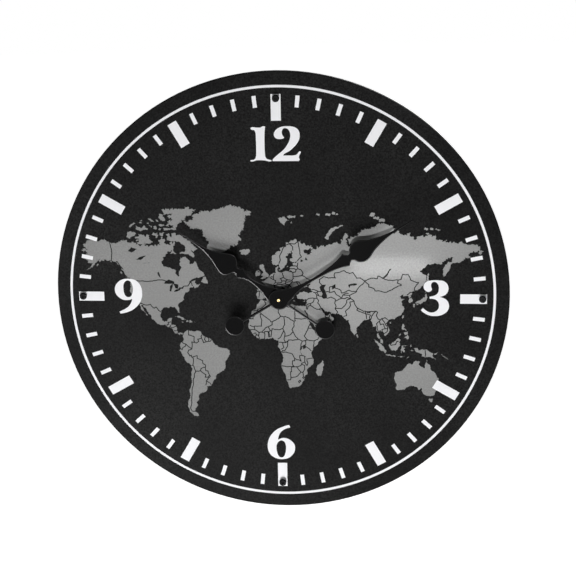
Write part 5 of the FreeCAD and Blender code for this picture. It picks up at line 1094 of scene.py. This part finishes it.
handSheet = {"tailDisc": 7.5, "tailBarHalf": 0.95, "tipHalf": 0.22, "edgeWide": 0.75,
             "edgeDeep": 0.3, "edgeCurve": (0.65, 0.35), "edgeSteps": 6, "rearRound": 0.08,
             "runSteps": 6, "arcStep": 4, "hubClear": 1.02, "meetingBack": 3.0,
             "narrowShare": 0.55, "narrowFrom": 12, "axisReach": 0.01}


def smoothRun(points):
    # Catmull-Rom run through the points
    run = []
    steps = handSheet["runSteps"]
    for index in range(len(points) - 1):
        a = Vector(points[max(index - 1, 0)])
        b, c = Vector(points[index]), Vector(points[index + 1])
        d = Vector(points[min(index + 2, len(points) - 1)])
        for step in range(steps):
            t = step / steps
            run.append(tuple(0.5 * (2 * b + (c - a) * t + (2 * a - 5 * b + 4 * c - d) * t * t
                                    + (3 * b - a - 3 * c + d) * t ** 3)))
    run.append(tuple(points[-1]))
    return run


def arcRun(centre, radius, fromAngle, toAngle):
    count = max(2, int(abs(toAngle - fromAngle) / handSheet["arcStep"]))
    angles = [math.radians(fromAngle + (toAngle - fromAngle) * step / count)
              for step in range(count + 1)]
    return [(centre[0] + radius * math.cos(angle), centre[1] + radius * math.sin(angle))
            for angle in angles]


def handOutline(look):
    # Right side from the bottom of the tail to the tip, then the left side as its mirror
    length, half, hub = look["length"], look["spadeHalf"], look["hubRadius"]
    disc, bar = handSheet["tailDisc"], handSheet["tailBarHalf"]

    def placed(part):
        return [(share * half, along * length) for along, share in look[part]]

    right = arcRun((0, -look["tailLength"]), disc, -90, math.degrees(math.acos(bar / disc)))
    stem = smoothRun([(look["root"][1] * half, look["root"][0] * hub)] + placed("stem"))
    outside = [point for point in stem if math.hypot(*point) > hub * handSheet["hubClear"]]
    meeting = math.degrees(math.atan2(outside[0][1], outside[0][0])) - handSheet["meetingBack"]
    right += arcRun((0, 0), hub, -math.degrees(math.acos(bar / hub)), meeting)
    neck = smoothRun([stem[-1]] + placed("neck"))
    spade = smoothRun([neck[-1]] + placed("spade") + [(handSheet["tipHalf"], length)])
    right += outside + neck[1:] + spade[1:]
    return right + [(-point[0], point[1]) for point in reversed(right[1:])]


def insetLoop(points, amount):
    # Moves each point of a hand's outline inwards, less where the sheet is narrow
    moved = []
    for index, point in enumerate(points):
        before, after = Vector(points[index - 1]), Vector(points[(index + 1) % len(points)])
        along = (after - before).normalized()
        room = amount
        if abs(point[0]) > handSheet["axisReach"] and point[1] > handSheet["narrowFrom"]:
            room = abs(point[0]) * handSheet["narrowShare"]
        moved.append(tuple(Vector(point) + Vector((-along.y, along.x)) * min(amount, room)))
    return moved


def makeHand(name, node, body, look):
    low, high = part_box(node)
    front, rear = low[1], high[1]
    outer = handOutline(look)
    hole = arcRun((0, 0), look["holeRadius"], 0, 360)[:-1]
    steps, wide, deep = handSheet["edgeSteps"], handSheet["edgeWide"], handSheet["edgeDeep"]
    straight, curved = handSheet["edgeCurve"]
    layers = [(handSheet["rearRound"], rear), (0.0, rear - handSheet["rearRound"] * mm)]
    for step in range(steps + 1):
        rest = 1 - step / steps
        layers.append((wide * step / steps,
                       front + deep * (straight * rest + curved * rest ** 2) * mm))
    turn = math.radians(look["degrees"])
    sheet = bmesh.new()

    def addLoop(points, depth):
        made = []
        for x, z in points:
            turned = (x * math.cos(turn) + z * math.sin(turn),
                      z * math.cos(turn) - x * math.sin(turn))
            place = onDial(turned, 0.0)
            made.append(sheet.verts.new((place[0], depth, place[2])))
        return made

    outerLoops = [addLoop(insetLoop(outer, amount), depth) for amount, depth in layers]
    holeLoops = [addLoop(hole, rear), addLoop(hole, front)]
    for loops, slotIndex in ((outerLoops, 1), (holeLoops, 0)):
        for first, second in zip(loops, loops[1:]):
            for index in range(len(first)):
                following = (index + 1) % len(first)
                wall = sheet.faces.new((first[index], first[following],
                                        second[following], second[index]))
                wall.material_index = slotIndex
    for ends in ((outerLoops[0], holeLoops[0]), (outerLoops[-1], holeLoops[1])):
        edges = [sheet.edges.get((vert, loop[(index + 1) % len(loop)]))
                 for loop in ends for index, vert in enumerate(loop)]
        bmesh.ops.triangle_fill(sheet, use_beauty=True, use_dissolve=False, edges=edges)
    bmesh.ops.recalc_face_normals(sheet, faces=sheet.faces)
    mesh = meshFrom(name, sheet)
    mesh.shade_flat()
    for finish in ("hand_black", "handEdge"):
        mesh.materials.append(finishes[finish])
    piece = newObject(name, mesh)
    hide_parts(node)
    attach(piece, body)


makeHand("hourHandSheet", "hour_hand", "hour_shaft", hourHandLook)
makeHand("minuteHandSheet", "minute_hand", "minute_shaft", minuteHandLook)
print("hands made")

# Floor, world, lamps and camera
stageLook = {"floorHeight": -1.45, "floorRadius": 14.0, "floorColour": (0.80, 0.80, 0.79),
             "floorGlow": 0.97, "floorSides": 96, "shown": (1.0, 1.0, 1.0),
             "ambientColour": (0.97, 0.985, 1.0), "ambient": 0.06, "glossShare": 0.2}
lampLooks = {
    "keyPanel": {
        "place": (-0.30, -1.40, -2.90), "aim": (0.0, -0.02, -0.141), "size": (1.15, 1.15),
        "watts": 174.0, "gloss": False},
    "edgeLamp": {
        "place": (-1.01, -1.12, -1.75), "aim": (0.0, -0.02, -0.141), "size": (1.0, 1.0),
        "watts": 95.0, "matt": False},
    "bandLamp": {
        "place": (0.08, -1.8, -0.611), "aim": (0.085, -0.025, -0.116), "size": (0.16, 0.04),
        "watts": 5.0, "matt": False},
    "leftLamp": {
        "place": (-0.42, -1.8, -0.56), "aim": (-0.09, -0.025, -0.10), "size": (0.4, 0.4),
        "watts": 2.4, "matt": False},
    "frontFill": {
        "place": (0.5, -0.95, 0.55), "aim": (0.0, -0.02, -0.10), "size": (0.5, 0.5),
        "watts": 1.1},
    "rearPanel": {
        "place": (0.8, 1.5, 0.9), "aim": (0.0, 0.0, -0.141), "size": (1.1, 1.1), "watts": 62.0},
}
cameraLook = {"place": (0.085, -0.9785, 0.1488), "right": (0.99252, 0.11884, -0.0279),
              "up": (-0.00348, 0.25603, 0.96666), "lens": 83.18, "sensor": 36.0,
              "shift": (0.1007, -0.066), "nearest": 0.01}


def seenShare(tree):
    # Whole for what the camera sees, also through something clear, and a part in reflections
    path = addNode(tree, "LightPath").outputs
    glossy = addMath(tree, "MULTIPLY", path["Is Glossy Ray"], stageLook["glossShare"])
    seen = addMath(tree, "MAXIMUM", path["Is Camera Ray"], glossy)
    return addMath(tree, "MAXIMUM", seen, path["Is Transmission Ray"])


def makeFloor():
    disc = bmesh.new()
    bmesh.ops.create_circle(disc, cap_ends=True, segments=stageLook["floorSides"],
                            radius=stageLook["floorRadius"])
    floor = newObject("floor", meshFrom("floor", disc))
    floor.location = (0, 0, stageLook["floorHeight"])
    material = bpy.data.materials.new("paleFloor")
    material.use_nodes = True
    tree = material.node_tree
    tree.nodes.remove(tree.nodes["Principled BSDF"])
    matt = addNode(tree, "BsdfDiffuse", {"Color": colourOf(stageLook["floorColour"])})
    level = addMath(tree, "MULTIPLY", seenShare(tree), stageLook["floorGlow"])
    glow = addNode(tree, "Emission", {"Strength": level})
    both = addNode(tree, "AddShader", {0: matt.outputs[0], 1: glow.outputs[0]})
    feed(tree, tree.nodes["Material Output"].inputs, {"Surface": both.outputs[0]})
    floor.data.materials.append(material)
    floor.visible_shadow = False  # the key stands lower than the floor


def makeWorld():
    world = bpy.data.worlds.new("paleStudio")
    scene.world = world
    world.use_nodes = True
    tree = world.node_tree
    shown = tree.nodes["Background"]
    feed(tree, shown.inputs, {"Color": colourOf(stageLook["shown"]), "Strength": 1.0})
    soft = addNode(tree, "Background", {
        "Color": colourOf(stageLook["ambientColour"]), "Strength": stageLook["ambient"]})
    mix = addNode(tree, "MixShader", {
        0: seenShare(tree), 1: soft.outputs[0], 2: shown.outputs[0]})
    feed(tree, tree.nodes["World Output"].inputs, {"Surface": mix.outputs[0]})


def makeLamp(name, look):
    lamp = bpy.data.lights.new(name, "AREA")
    lamp.shape = "RECTANGLE"
    lamp.size, lamp.size_y = look["size"]
    lamp.energy = look["watts"]
    holder = newObject(name, lamp)
    holder.location = look["place"]
    towards = Vector(look["aim"]) - Vector(look["place"])
    holder.rotation_euler = towards.to_track_quat("-Z", "Y").to_euler()
    holder.visible_camera = False
    holder.visible_diffuse = look.get("matt", True)
    holder.visible_glossy = look.get("gloss", True)


def makeCamera():
    data = bpy.data.cameras.new("photoCamera")
    data.lens = cameraLook["lens"]
    data.sensor_width = cameraLook["sensor"]
    data.shift_x, data.shift_y = cameraLook["shift"]
    data.clip_start = cameraLook["nearest"]
    camera = newObject("photoCamera", data)
    right, up = Vector(cameraLook["right"]), Vector(cameraLook["up"])
    turn = Matrix((right, up, right.cross(up))).transposed().to_4x4()
    camera.matrix_world = Matrix.Translation(cameraLook["place"]) @ turn
    scene.camera = camera


makeFloor()
makeWorld()
for name, look in lampLooks.items():
    makeLamp(name, look)
makeCamera()
scene.view_settings.view_transform = "Standard"
print("stage, lamps and camera set")
